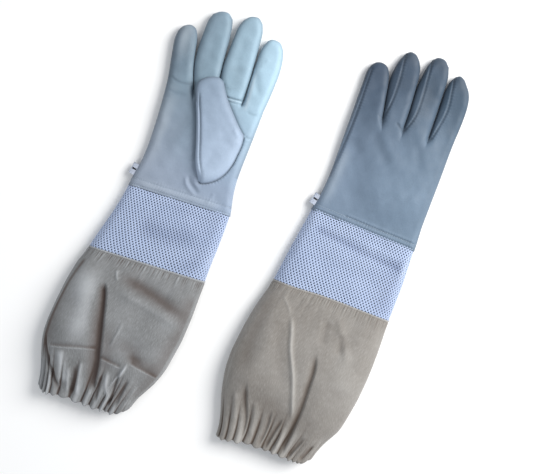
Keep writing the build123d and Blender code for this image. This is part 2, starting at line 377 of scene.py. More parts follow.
def along_line(points, shares):
    """Points at shares of a smooth line's length."""
    line = smooth_line(points, 0.6)
    length = np.concatenate([[0], np.cumsum(np.hypot(*np.diff(line, axis=0).T))])
    return np.column_stack([np.interp(shares * length[-1], length, line[:, i]) for i in (0, 1)])


def between(line, shares):
    """Points at shares of a line, straight between two points or curved through more."""
    if len(line) > 2:
        return along_line(line, shares)
    start, end = np.array(line)
    return start + shares[:, None] * (end - start)


def patch(left, top, right, bottom, rows, columns):
    """A grid stretched between four lines: rows by columns of points."""
    v, u = spread(rows, 0.35), spread(columns)
    left, right = between(left, v), between(right, v)
    top, bottom = between(top, u), between(bottom, u)
    v, u = v[:, None, None], u[None, :, None]
    corners = (1 - u) * (1 - v) * bottom[0] + u * (1 - v) * bottom[-1]
    corners = corners + (1 - u) * v * top[0] + u * v * top[-1]
    return (1 - u) * left[:, None] + u * right[:, None] + (1 - v) * bottom[None] + v * top[None] - corners


def free_edge(left, top, right):
    """The outline of a finger or thumb round its tip, from root to root."""
    return np.vstack([smooth_line(left, 1.5), smooth_line(top, 1.5)[1:], smooth_line(right, 1.5)[::-1][1:]])


def with_painted_edge_shade(tone, edge):
    """A tone at least as dark as the painted shade along an edge, except where it is a painted highlight."""
    return np.where(tone < 0, tone, np.maximum(tone, edge))


def edge_at(points, y):
    """A side line's x at each y."""
    line = smooth_line(points, 1.0)
    return np.interp(y, line[:, 1], line[:, 0])


class Hand:
    """The heights of one leather hand, top and underside, over its plan."""

    def __init__(self, side):
        self.side, self.shape = side, HANDS[side]
        self.crotches = [self.shape[finger][0][0][0] for finger in FINGERS[1:]]
        self.marks = RIGHT_MARKS if side == "right" else LEFT_MARKS
        self.seed = 11 if side == "right" else 23
        inner, tip, outer, base = THUMB
        around = inner + tip[1:] + outer[::-1][1:] + base[::-1][1:-1]
        self.thumb_line = smooth_line(around, 3.0, closed=True)

    def lift(self, points):
        """How far the left hand is held up by the thumb folded beneath it."""
        if self.side == "right":
            return np.zeros(len(points))
        depth, _ = depth_inside(points, self.thumb_line)
        return 8.9 * smoothstep(depth, -34, 2) * smoothstep(points[:, 1], 2, 42)

    def crown(self, points):
        """The full height of the top above the underside, with the soft unevenness of worn leather."""
        y = points[:, 1]
        full = 13.3 - 1.2 * smoothstep(y, 120, 150)
        full = full + 0.35 * ripple(points, 60, self.seed) * smoothstep(y, 0, 12)
        return full + 0.12 * ripple(points, 17, self.seed + 1)

    def heights(self, points, puff):
        """Top and underside where the edge's puff is known, and the painted shade and highlights of the
        seams, creases and edges.
        """
        lift = self.lift(points)
        rise, tone = marks_at(points, self.marks)
        keep = smoothstep(puff, 0.15, 0.75)
        top = MIDDLE + 0.6 * lift + (self.crown(points) - MIDDLE) * puff + rise * keep
        under_puff = puff**0.7
        bottom = (MIDDLE + 0.6 * lift) * (1 - under_puff) + (0.25 + lift) * under_puff
        # Painted shade along the outline, where the puffed leather turns down away from the light.
        edge = 0.62 * smoothstep(puff, 0.93, 0.35)
        return top, np.minimum(bottom, top - 0.3 * puff), with_painted_edge_shade(tone * keep, edge)

    def palm_puff(self, points):
        """How full the palm is at each point: 0 at its sides and in the valleys between the finger roots."""
        x, y = points.T
        little, index = edge_at(self.shape["little_edge"], y), edge_at(self.shape["index_edge"], y)
        puff = round_edge(x - little, EDGE_RADIUS) * round_edge(index - x, EDGE_RADIUS)
        reaches = (24, 24, 8 if self.side == "right" else 20)
        for crotch, slope, reach in zip(self.crotches, (-0.25, -0.06, 0.02), reaches):
            valley = smoothstep(y, ROOT - reach, ROOT) ** 2.2
            line = crotch + slope * (y - ROOT)
            wall = round_edge(np.abs(x - line), EDGE_RADIUS)
            puff = puff * (1 - valley + valley * wall)
        return puff

    def finger_puff(self, points, finger):
        """How full a finger is at each point: 0 at its outline."""
        distance, _, _ = nearest(points, free_edge(*self.shape[finger]))
        return round_edge(distance, EDGE_RADIUS)


# The palm's folds, seams and dents. Their tones paint shade into grooves and seams and highlights onto
# ridges; those with no rise are broad patches of painted light and shade.
RIGHT_MARKS = [
    seam([(-28.3, 128), (-23.5, 118)], 1.2, 1.1, pucker=0.0, tone=0.5, ends=0.4),
    Mark([(-60, 135), (-52, 131.5), (-45, 130), (-28, 133)], -0.7, 1.7, tone=0.35),
    Mark([(-58, 120), (-45, 117), (-30, 119)], -0.35, 2.2, tone=0.12),
    Mark([(-58, 108), (-46, 116), (-36, 120)], -0.5, 4.0, tone=0.05),
    Mark([(38, 121), (44, 119), (52, 121)], -0.5, 1.6, tone=0.2),
    Mark([(-48, 52), (-34, 66), (-27, 100)], -0.9, 11.0, tone=0.22),
    # A painted dark line along the wrist's edge, with no rise.
    Mark([(-66, 0.2), (-20, 0.3), (20, 0.3), (55, 0.2)], 0.0, 0.7, ends=0.01, tone=0.7),
    Mark([(-40, 30), (-30, 45), (-26, 60)], 0.7, 8.0),
    seam([(-3, 131.5), (8, 130.4), (20, 130.6), (30.4, 131.5)], 1.2, 1.0, pucker=0.1, tone=1.0),
    seam([(2, 127), (12, 125.9), (22, 126.2), (32, 127.4)], 0.6, 0.8, pucker=0.1, tone=0.6),
    Mark([(2, 129.2), (12, 128.2), (22, 128.4), (30.4, 129.4)], 0.6, 0.9, ends=0.05, tone=-0.5),
    Mark([(30.6, 142), (30.8, 129)], -3.0, 1.3, tone=1.2),
    # Painted shadow on the palm along the thumb's free edge, with a slight dent.
    Mark(THUMB[0][1:], -0.5, 3.2, ends=0.1, tone=0.5),
    Mark([(-28.4, 137), (-28, 127), (-26, 121)], -1.4, 1.4, tone=0.9),
    Mark([(2, 150), (6, 141), (14, 137)], -0.4, 1.7, tone=0.05),
    Mark([(34, 170), (38, 158), (46, 140)], -1.2, 4.5, tone=0.1),
    Mark([(36, 176), (41, 178), (45, 188)], 0.6, 3.0),
    Mark([(-20, 200), (-22, 180), (-19, 160)], -0.8, 5.0, tone=0.05),
    Mark([(13, 205), (11, 180), (15, 155)], -0.7, 5.0, tone=0.05),
    Mark([(-53, 185), (-52, 165), (-46, 145)], -0.7, 5.0, tone=0.05),
    seam(THUMB[3], 1.3, 1.1, pucker=0.22, tone=1.0),
    Mark([(45, 95), (47, 92), (54, 93)], -0.9, 1.4, tone=0.35),
    Mark([(44, 90.5), (47, 89.5), (52, 90)], 0.7, 1.3),
    Mark([(-3, 33), (0, 25), (6, 19), (15, 14)], -1.3, 2.2, tone=0.3),
    Mark([(-7, 31), (-4, 22), (3, 15), (13, 10.5)], 1.0, 2.2),
    Mark([(3, 32), (7, 24), (13, 20)], 0.8, 1.6),
    seam([(-66, 2.2), (-30, 2.6), (10, 2.4), (55, 2.2)], 0.5, 0.7, pucker=0.1, tone=0.35),
    seam([(-65, 10), (-30, 9.6), (10, 10), (54, 9.8)], 0.35, 0.7, pucker=0.12, tone=0.22),
    Mark([(-66, 6), (-30, 6), (10, 6.2), (55, 6)], 0.35, 2.6, ends=0.02),
    Mark([(24, 6), (30, 14), (29, 22)], 0.5, 2.2),
    Mark([(-58, 34), (-54, 60), (-54, 92)], -0.5, 3.5, tone=0.08),
    # Two broad painted highlights, with no rise.
    Mark([(-58, 225), (-55, 185), (-50, 145)], 0.0, 9.0, ends=0.5, tone=-0.4),
    Mark([(-50, 150), (-50, 95), (-50, 60), (-56, 10)], 0.0, 10.0, ends=0.5, tone=-0.3),
    # Painted shade along the thumb's outer outline, with a shallow dent.
    Mark(THUMB[2], -0.4, 2.0, ends=0.02, tone=0.9),
    Mark([(31.2, 145), (31.4, 130)], -1.6, 1.0, tone=1.0),
    Mark([(36, 118), (35.4, 140), (35.6, 172)], 0.2, 2.4, ends=0.2, tone=-0.45),
    # A broad painted shade, then a broad painted highlight, neither with a rise.
    Mark([(12, 172), (18, 150), (20, 134)], 0.0, 9.0, ends=0.25, tone=0.3),
    Mark([(-60, 7), (-10, 7), (48, 8)], 0.0, 6.0, ends=0.15, tone=-0.2),
]


def finger_seams(lines):
    """The two seams on the back of each finger, with the ridge of the turned edge beside each and painted
    shade in and beside each seam.
    """
    marks = []
    for line in lines:
        marks.append(seam(line, 1.05, 1.0, pucker=0.2, tone=0.8))
        marks.append(Mark([(x - 2.3, y) for x, y in line], 0.45, 1.0))
        marks.append(Mark([(x + 1.9, y) for x, y in line], 0.2, 0.8, tone=0.3))
    return marks


LEFT_CROTCHES = [
    [(-31.5, 150), (-29, 138), (-26.5, 124)],
    [(-2, 150), (-1, 138), (0.6, 121)],
    [(29.3, 150), (30, 138), (31.5, 122)],
]
# The back's seams, folds and dents. Their tones paint shade into the seams, between the fingers and in the
# dents, and highlights onto ridges; those with no rise are broad patches of painted light and shade.
LEFT_MARKS = finger_seams([
    [(-60.5, 178), (-59.5, 160), (-58, 135), (-57, 110), (-57, 70), (-58, 42)],
    [(-30, 208), (-29, 196), (-26.3, 178), (-25, 150), (-27, 125)],
    [(0.5, 213), (3, 192), (6, 165), (6, 142), (1, 122)],
    [(31.5, 203), (35, 185), (38, 165), (37, 148), (33, 124)],
]) + [
    # Painted shade in the seams between the fingers.
    *(seam(line, 1.3, 1.4, pucker=0.0, tone=1.0, ends=0.12) for line in LEFT_CROTCHES),
    Mark([(-12, 129), (-6, 125), (1, 121.5)], -0.9, 1.4, tone=0.7),
    Mark([(-34, 131), (-27, 122.5), (-22, 127)], -0.7, 1.1, tone=0.4),
    # Broad painted shade across the fingertips and down the index side, and a painted highlight on the little
    # side, none with a rise.
    Mark([(-57, 200), (-20, 212), (12, 216), (56, 198)], 0.0, 15.0, ends=0.0, tone=0.85),
    Mark([(60, 140), (58, 100), (60, 60), (62, 20)], 0.0, 9.0, ends=0.1, tone=0.3),
    Mark([(-52, 90), (-52, 40), (-53, 4)], 0.0, 8.0, ends=0.3, tone=-0.25),
    Mark([(9, 172), (8, 150), (8, 126)], 0.0, 6.0, ends=0.2, tone=0.35),
    Mark([(10, 200), (14, 170), (16, 140)], -0.3, 7.0, ends=0.2, tone=0.3),
    Mark([(45, 185), (50, 160), (52, 130)], -0.3, 8.0, ends=0.2, tone=0.2),
    Mark([(-40, 168), (0, 175), (28, 168)], 0.0, 12.0, ends=0.2, tone=0.2),
    Mark([(-59.5, 172), (-59, 120), (-58, 60)], 0.2, 1.5, ends=0.1, tone=-0.15),
    Mark([(-35, 115), (-15, 90), (0, 75)], -1.3, 7.5, tone=0.12),
    Mark([(-55, 95), (-45, 86), (-35, 78)], -1.0, 6.5, tone=0.12),
    Mark([(-20, 110), (0, 92), (18, 74)], 0.9, 7.5),
    Mark([(20, 118), (28, 100), (30, 80)], -0.6, 6.0, tone=0.05),
    Mark([(-48, 40), (-20, 34), (10, 40)], -0.7, 9.0),
    Mark([(10, 60), (32, 50), (52, 56)], 0.7, 9.0),
    seam([(-62, 1.6), (-20, 1.4), (20, 1.4), (65, 1.6)], 0.7, 0.8, pucker=0.12, tone=0.5),
    Mark([(-60, 4), (-20, 3.8), (20, 3.8), (64, 4)], 0.45, 1.5, ends=0.02),
    seam([(-25, 7.4), (10, 7.0), (62, 7.6)], 0.5, 0.8, pucker=0.14, tone=0.35),
    Mark([(-25, 9.6), (10, 9.3), (62, 9.8)], 0.4, 1.4, ends=0.06),
]


def palm_sheet(hand, last):
    """The palm from the wrist seam to the finger roots: its plan, its heights and its tone."""
    columns = len(last)
    share = (last[:, 0] - last[0, 0]) / (last[-1, 0] - last[0, 0])
    y = np.concatenate([np.linspace(0, 14, 18)[:-1], np.linspace(14, ROOT, 118)])
    little, index = edge_at(hand.shape["little_edge"], y), edge_at(hand.shape["index_edge"], y)
    x = little[:, None] + (index - little)[:, None] * share
    palm = np.stack([x, np.repeat(y[:, None], columns, 1)], -1)
    palm[-1] = last
    flat = palm.reshape(-1, 2)
    return palm, *(part.reshape(len(y), columns) for part in hand.heights(flat, hand.palm_puff(flat)))


def turned_in(hand, palm, top, bottom, tone):
    """The palm with the wrist hem's rows set before its first one, running back up inside the glove."""
    little, index = (edge_at(hand.shape[edge], 0.0) for edge in ("little_edge", "index_edge"))
    rows, inset = len(HEM_UP), HEM_IN[:, None]
    hem = np.repeat(palm[:1], rows, 0)
    hem[:, :, 1] = HEM_UP[:, None]
    centre = (little + index) / 2
    hem[:, :, 0] = centre + (hem[:, :, 0] - centre) * (1 - inset / (index - little) * 2)
    squeeze = 1 - inset / 6
    top = np.vstack([MIDDLE + (top[:1] - MIDDLE) * squeeze, top])
    bottom = np.vstack([MIDDLE + (bottom[:1] - MIDDLE) * squeeze, bottom])
    return np.vstack([hem, palm]), top, bottom, np.vstack([np.repeat(tone[:1], rows, 0), tone])


def finger_sheet(hand, number, grid, palm_top, palm_bottom):
    """A finger's plan, heights and tone, eased into the palm's last row over its first few rows."""
    flat = grid.reshape(-1, 2)
    parts = hand.heights(flat, hand.finger_puff(flat, FINGERS[number]))
    high, low, dark = (part.reshape(grid.shape[:2]) for part in parts)
    first = number * (ACROSS - 1)
    here = slice(first, first + ACROSS)
    fade = np.clip(1 - np.arange(len(grid)) / 7, 0, 1)[:, None]
    high += fade * (palm_top[here] - high[0])
    low += fade * (palm_bottom[here] - low[0])
    return grid, high, low, dark


def closed_shell(sheets):
    """The tops and undersides of all sheets welded together, and which sheet each face is from."""
    points, faces, owners, dark = [], [], [], []
    start = 0
    for number, (grid, high, low, shade) in enumerate(sheets):
        rows, across = grid.shape[:2]
        for heights, under in ((high, False), (low, True)):
            points.append(np.column_stack([grid.reshape(-1, 2), heights.reshape(-1)]))
            faces.append(quads(rows, across, start, flip=under))
            owners.append(np.full(len(faces[-1]), number))
            dark.append(shade.reshape(-1) * (0 if under else 1))
            start += rows * across
    points, faces, dark = weld(np.vstack(points), np.vstack(faces), np.concatenate(dark))
    return (points, faces, normals_of(points, faces), dark), np.concatenate(owners)


def leather_hand(side, plan, material):
    """Palm and back with the finger roots on the hand, and four fingers split from it as pieces of their own.
    """
    hand = Hand(side)
    grids = []
    for finger in FINGERS:
        left, top, right = hand.shape[finger]
        grids.append(patch(left, top, right, [left[0], right[0]], FINGER_ROWS, ACROSS))
    last = np.vstack([grids[0][0]] + [grid[0][1:] for grid in grids[1:]])
    palm = turned_in(hand, *palm_sheet(hand, last))
    _, top, bottom, _ = palm
    fingers = [finger_sheet(hand, number, grid, top[-1], bottom[-1]) for number, grid in enumerate(grids)]
    whole, owner = closed_shell([palm] + fingers)
    pieces = {}
    for number, name in enumerate(("hand",) + FINGERS):
        spots, corners, normals, shade = split(whole, owner == number)
        pieces[name] = piece(f"{side}_leather_{name}", plan, spots, corners, material,
                             tone=shade, normals=normals)
    return hand, pieces


def leather_thumb(side, plan, material):
    """The thumb, sewn in around its base and free at its tip. On the left glove it lies beneath the palm."""
    left, top, right, bottom = THUMB
    flat = patch(left, top, right, bottom, *THUMB_GRID).reshape(-1, 2)
    free_depth, _, _ = nearest(flat, free_edge(left, top, right))
    base_depth, _, _ = nearest(flat, smooth_line(bottom, 1.5))
    grown = smoothstep(base_depth, 0, 15)
    floor, full = (13.2, 22.4) if side == "right" else (0.3, 8.2)
    if side == "right":
        low, middle = floor + 1.4 * grown, floor + 4.6 * grown
    else:
        low, middle = floor + 8.4 * (1 - grown), floor + 4.0 + 5.0 * (1 - grown)
        full = full + 0.6 * (1 - grown)
    crown = full + 0.35 * ripple(flat, 40, 5) * grown + 0.1 * ripple(flat, 13, 6) * grown
    puff, rooted = round_edge(free_depth, 9.5), round_edge(base_depth, 17)
    rise, tone = marks_at(flat, THUMB_MARKS)
    keep = smoothstep(puff, 0.1, 0.6)
    high = middle + (crown - middle) * puff * (rooted if side == "right" else 1) + rise * keep
    under = middle - (middle - low) * puff**0.7
    count = len(flat)
    points = np.vstack([np.column_stack([flat, high]), np.column_stack([flat, np.minimum(under, high)])])
    faces = np.vstack([quads(*THUMB_GRID), quads(*THUMB_GRID, count, flip=True)])
    # Painted shade along the thumb's free outline and along its sewn base.
    edge = 0.6 * smoothstep(puff, 0.93, 0.3) + 0.6 * smoothstep(base_depth, 1.6, 0.2)
    shade = with_painted_edge_shade(tone * keep, np.minimum(edge, 0.8))
    points, faces, dark = weld(points, faces, np.concatenate([shade, 0 * tone]))
    return piece(f"{side}_leather_thumb", plan, points, faces, material, tone=dark)


# The thumb's seam, ridges and dents; their tones paint shade into the seam and a faint highlight beside it.
THUMB_MARKS = [
    seam([(13, 33), (4.5, 50), (-3.5, 77), (-10.5, 99), (-16, 114),
        (-20.5, 128)], 1.3, 1.1, pucker=0.12, tone=0.75, ends=0.12),
    Mark([(10.5, 33), (2.2, 50), (-6, 77), (-13, 99), (-18, 113)], 0.45, 1.0, tone=-0.1, ends=0.1),
    Mark([(4, 110), (12, 95), (16, 75)], 0.5, 6.0),
    Mark([(16, 84), (27, 78), (38, 77)], -0.5, 4.0, tone=0.05),
    Mark([(40, 88), (36, 92), (30, 97)], 0.9, 2.4),
    Mark([(42, 84), (38, 80)], 0.5, 2.0),
    Mark([(10, 40), (14, 55), (14, 70)], -0.4, 4.0),
]


# ---------------------------------------------------------------- tubes: the mesh sleeve and the canvas

class Tube:
    """A flattened tube along the forearm, by stations: y, two sides, underside, top and edge radius."""

    def __init__(self, stations, joins, hem):
        self.stations = np.array(stations, float)[::-1]
        self.joins, self.hem = np.array(joins, float), np.array(hem, float)

    def drift(self, x, y):
        """How far the mesh's lower seam and the hem run off square, along the glove."""
        seam, hem = self.joins[0, 1], self.hem[0, 1]
        seam_share = smoothstep(y, -25, seam) * smoothstep(y, seam - 55, seam)
        hem_share = smoothstep(y, hem + 60, hem)
        seam_drift = np.interp(x, self.joins[1:, 0], self.joins[1:, 1])
        return seam_share * seam_drift + hem_share * np.interp(x, self.hem[1:, 0], self.hem[1:, 1])

    def at(self, y):
        """The two sides, underside, top and edge radius at y, smoothed between the stations."""
        s = self.stations
        fine = np.linspace(s[0, 0], s[-1, 0], 300)
        rows = np.column_stack([np.interp(fine, s[:, 0], s[:, i]) for i in range(1, s.shape[1])])
        kernel = np.hanning(25) / np.hanning(25).sum()
        padded = np.vstack([2 * rows[0] - rows[12:0:-1], rows, 2 * rows[-1] - rows[-2:-14:-1]])
        rows = np.column_stack([np.convolve(column, kernel, "valid") for column in padded.T])
        return [np.interp(y, fine, rows[:, i]) for i in range(rows.shape[1])]

    def ring(self, y, shares):
        """Points round the tube at y, at shares of its girth from the little side over the top; the girth."""
        x_low, x_high, z_low, z_top, radius = self.at(y)
        turn = np.linspace(0, pi, 241)
        x = x_low + (x_high - x_low) * ((1 - np.cos(turn)) / 2 * 0.75 + 0.25 * turn / pi)
        depth = np.minimum(x - x_low, x_high - x)
        middle = z_low + min(MIDDLE, 0.42 * (z_top - z_low)) + 0.12 * max(0.0, z_top - 14)
        top = middle + (z_top - middle) * round_edge(depth, radius)
        under = middle - (middle - z_low) * round_edge(depth, 0.55 * radius)
        loop = np.vstack([np.column_stack([x, top]), np.column_stack([x, under])[::-1][1:]])
        length = np.concatenate([[0], np.cumsum(np.hypot(*np.diff(loop, axis=0).T))])
        wanted = shares * length[-1]
        return np.column_stack([np.interp(wanted, length, loop[:, i]) for i in (0, 1)]), length[-1]

    def girth(self, y):
        """The length of cloth once round the tube at y."""
        return self.ring(y, np.array([0.0]))[1]

    def grid(self, rows, shares):
        """The tube's points, row by row, and its cloth coordinates: round, along, 0."""
        points = np.zeros((len(rows), len(shares), 3))
        cloth = np.zeros_like(points)
        for number, y in enumerate(rows):
            ring, girth = self.ring(y, shares)
            points[number, :, 0], points[number, :, 2] = ring.T
            points[number, :, 1] = y + self.drift(ring[:, 0], y)
            cloth[number, :, 0] = shares * girth
            cloth[number, :, 1] = y
        return points, cloth


TUBES = {
    "right": Tube([
        (4, -66.2, 55.2, 0.9, 12.9, 8.5), (0, -66.6, 55.6, 0.9, 12.9, 8.5), (-20, -71, 54.7, 0.6, 14.5, 11),
        (-42, -77, 53.3, 0.5, 16.2, 14), (-57, -82, 52, 0.5, 17.6, 17), (-72, -86.5, 51, 0.5, 19, 19),
        (-88, -91, 50.5, 0.4, 20.3, 22),
        (-100, -96.5, 50.2, 0.3, 22.3, 26), (-125, -102.5, 49.2, 0.3, 27.5, 32),
        (-155, -107, 46.2, 0.3, 31, 38),
        (-175, -109.2, 42, 0.3, 32, 40), (-190, -109.6, 39, 0.3, 31.2, 40),
        (-205, -107.6, 34.5, 0.3, 29.2, 38),
        (-220, -104.3, 30, 0.3, 26.5, 34), (-235, -100.2, 23.4, 0.3, 23.5, 28),
        (-247, -97.6, 16.8, 0.3, 20.5, 20),
        (-260, -96.3, 12.6, 0.3, 19.5, 18),
    ], [(0, -80), (-90, 0), (50, 0)], [(0, -246), (-97, 8), (-90, 1), (-60, 3), (-30, 1), (-4, 1),
        (5, 5), (13, 12)]),
    "left": Tube([
        (4, -62, 64.8, 0.9, 13.2, 8.5), (0, -62.4, 65, 0.9, 13.2, 8.5), (-20, -64.5, 66.6, 0.6, 15, 11),
        (-42, -67.5, 68.2, 0.5, 16.6, 14), (-65, -70, 68.7, 0.5, 18.5, 18), (-90, -72.5, 69, 0.4, 20.8, 22),
        (-105, -76, 70.2, 0.3, 23.2, 27), (-120, -79, 71.2, 0.3, 26.3, 31), (-140, -82, 71.9, 0.3, 29.3, 36),
        (-160, -84.3, 71.9, 0.3, 31.3, 40), (-185, -86, 70.5, 0.3, 32, 42), (-205, -85, 67.8, 0.3, 31, 40),
        (-220, -82, 65.6, 0.3, 29, 38), (-235, -78.6, 63, 0.3, 26.5, 34), (-250, -73.5, 59, 0.3, 24, 28),
        (-262, -69.5, 55, 0.3, 22, 22), (-273, -66.8, 51, 0.3, 20.5, 20), (-286, -65.6, 47, 0.3, 19.5, 18),
    ], [(0, -86), (-73, -5), (-45, -4), (-15, -1), (10, 0), (69, 1)],
        [(0, -272), (-67, 0), (-56, -1), (-44, 3), (-30, 6), (0, 8), (36, 8), (43, 13), (49, 19)]),
}
BAND = {"right": (-80, -91), "left": (-86, -97)}            # the gathered join of mesh and canvas
HEM = {"right": (-247, -258.5), "left": (-272.5, -284.5)}   # the elastic casing
SLEEVE_UP, SLEEVE_DOWN = 2.5, 2     # how far the mesh goes on inside the leather, and inside the band
SLEEVE_AT, CANVAS_AT = -40, -185    # where the mesh's and the canvas's girths are taken
NET_PITCH = (3.75, 2.62)            # from hole to hole round the sleeve, and from row to row along it
HOLE = 0.42                         # a hole's radius, as a share of the way to the next
NET_WALL = 0.7                      # the net's thickness


def facing_up(points, stations, tube):
    """1 on the tube's top, falling to 0 towards its sides and underside."""
    up = np.zeros(points.shape[:2])
    for number, row in enumerate(points):
        x_low, x_high, z_low, z_top, _ = tube.at(stations[number])
        middle = z_low + 0.45 * (z_top - z_low)
        depth = np.minimum(row[:, 0] - x_low, x_high - row[:, 0])
        up[number] = smoothstep(depth, 1.5, 11) * (row[:, 2] > middle)
    return up


# Broad folds of the net on its top. Their tones paint shade into the hollows; the tones below 0 only lessen
# it, and the left's broad mark without rise is painted shade alone.
SLEEVE_MARKS = {
    "right": [
        Mark([(-50, -40), (0, -42), (30, -34)], -0.9, 13.0, tone=0.3),
        Mark([(-60, -9), (-10, -7), (50, -8)], 0.7, 5.0, tone=-0.6),
        Mark([(20, -55), (30, -70), (32, -84)], -0.5, 18.0, ends=0.5, tone=0.25),
        Mark([(49, -12), (46, -45), (44, -80)], 0.3, 6.0, ends=0.05, tone=-0.3),
        Mark([(-64, -4), (-70, -40), (-84, -82)], 0.5, 2.6, ends=0.02, tone=0.25),
    ],
    "left": [
        Mark([(-55, -18), (-10, -22), (62, -26)], -1.3, 5.0, ends=0.1, tone=0.35),
        Mark([(-20, -12), (20, -14), (62, -16)], 0.5, 2.6, tone=-0.2),
        Mark([(-55, -36), (0, -40), (62, -42)], 0.6, 7.0),
        Mark([(58, -10), (58, -50), (60, -84)], 0.0, 16.0, ends=0.1, tone=0.22),
        Mark([(-58, -5), (-60, -45), (-66, -84)], 0.5, 2.6, ends=0.02),
    ],
}


def net_lattice(around, along):
    """A net of staggered holes: its points, as shares of the way round and along, and its faces."""
    # Each hole sits in a diamond, whose corners and edge middles are shared with the diamonds beside it.
    diamond = np.array([(1, 0), (0.5, 0.5), (0, 1), (-0.5, 0.5), (-1, 0), (-0.5, -0.5), (0, -1),
        (0.5, -0.5)])
    turn = np.linspace(0, 2 * pi, 9)[:-1]
    hole = HOLE * np.column_stack([np.cos(turn), np.sin(turn)])
    offsets = np.vstack([diamond, hole]) * (0.5, 1.0)
    u, v, faces = [], [], []
    for row in range(1, along):
        for column in range(around):
            start = len(u)
            u += list(column + 0.5 * (row % 2) + offsets[:, 0])
            v += list(row + offsets[:, 1])
            faces += quads(2, 8, start, wrap=True).tolist()
    return np.array(u) / around % 1.0, np.array(v) / along, np.array(faces)


def on_grid(field, u, v):
    """A grid's values at shares of the way across and along it, blended from the four points about each."""
    rows, columns = field.shape[0] - 1, field.shape[1] - 1
    column, row = u * columns, v * rows
    i, j = np.minimum(column.astype(int), columns - 1), np.minimum(row.astype(int), rows - 1)
    a, b = (column - i)[:, None], (row - j)[:, None]
    return ((1 - a) * (1 - b) * field[j, i] + a * (1 - b) * field[j, i + 1]
            + (1 - a) * b * field[j + 1, i] + a * b * field[j + 1, i + 1])


def thickened(points, faces, thick):
    """An open sheet round a tube made into a wall, with a copy inside it and a rim at each open edge."""
    normals = normals_of(points, faces)
    inverted = side_outward(points, normals) < 0
    inner = points + normals * thick * (1 if inverted else -1)
    edges = np.vstack([faces[:, [k, (k + 1) % 4]] for k in range(4)])
    _, first, times = np.unique(np.sort(edges, 1), axis=0, return_index=True, return_counts=True)
    rim, count = edges[first[times == 1]], len(points)
    walls = np.column_stack([rim[:, 1], rim[:, 0], rim[:, 0] + count, rim[:, 1] + count])
    if inverted:
        faces, walls = faces[:, ::-1], walls[:, ::-1]
    return np.vstack([points, inner]), np.vstack([faces, faces[:, ::-1] + count, walls])


def mesh_sleeve(side, plan, material):
    """The ventilated sleeve: a knitted net with staggered holes, as a wall with a thickness."""
    tube = TUBES[side]
    top, bottom = SLEEVE_UP, BAND[side][0] - SLEEVE_DOWN
    girth = tube.girth(SLEEVE_AT)
    around, along = round(girth / NET_PITCH[0]), round((top - bottom) / NET_PITCH[1])
    along += along % 2
    u, v, faces = net_lattice(around, along)
    rows = np.linspace(top, bottom, 70)
    points, _ = tube.grid(rows, np.linspace(0, 1, 301))
    up = facing_up(points, rows, tube)
    flat = points[..., :2].reshape(-1, 2)
    rise, tone = (part.reshape(up.shape) for part in marks_at(flat, SLEEVE_MARKS[side]))
    points[..., 2] += rise * up
    points[..., 2] += 0.35 * up * ripple(flat, 38, 71).reshape(up.shape)
    # The painted shade of the folds, on the net's top only.
    spots, dark = on_grid(points, u, v), on_grid((tone * up)[..., None], u, v)[:, 0]
    laid = np.column_stack([u * girth, v * (bottom - top), 0 * u])
    spots, faces, laid, dark = weld(spots, faces, laid, dark)
    spots, faces = thickened(spots, faces, NET_WALL)
    # Both walls carry the painted shade.
    return piece(f"{side}_mesh_sleeve", plan, spots, faces, material,
                 cloth=np.vstack([laid, laid]), tone=np.concatenate([dark, np.maximum(dark, 0)]))


def side_outward(points, normals):
    """Above 0 where a tube's normals mostly point away from its middle."""
    centre = points.mean(0)
    away = (points - centre) * (1, 0, 1)
    return (away * normals).sum(1).mean()


def tuck(line, lean, tone):
    """A fine ridge across the canvas with a groove 2 mm above it, laid over, a painted highlight on the ridge
    and painted shade in the groove.
    """
    groove = [(x, y + 2) for x, y in line]
    return [
        Mark(line, 0.8, 0.9, ends=0.12, tone=-0.35),
        Mark(groove, -1.2, 1.6, ends=0.12, lean=lean, tone=tone),
    ]
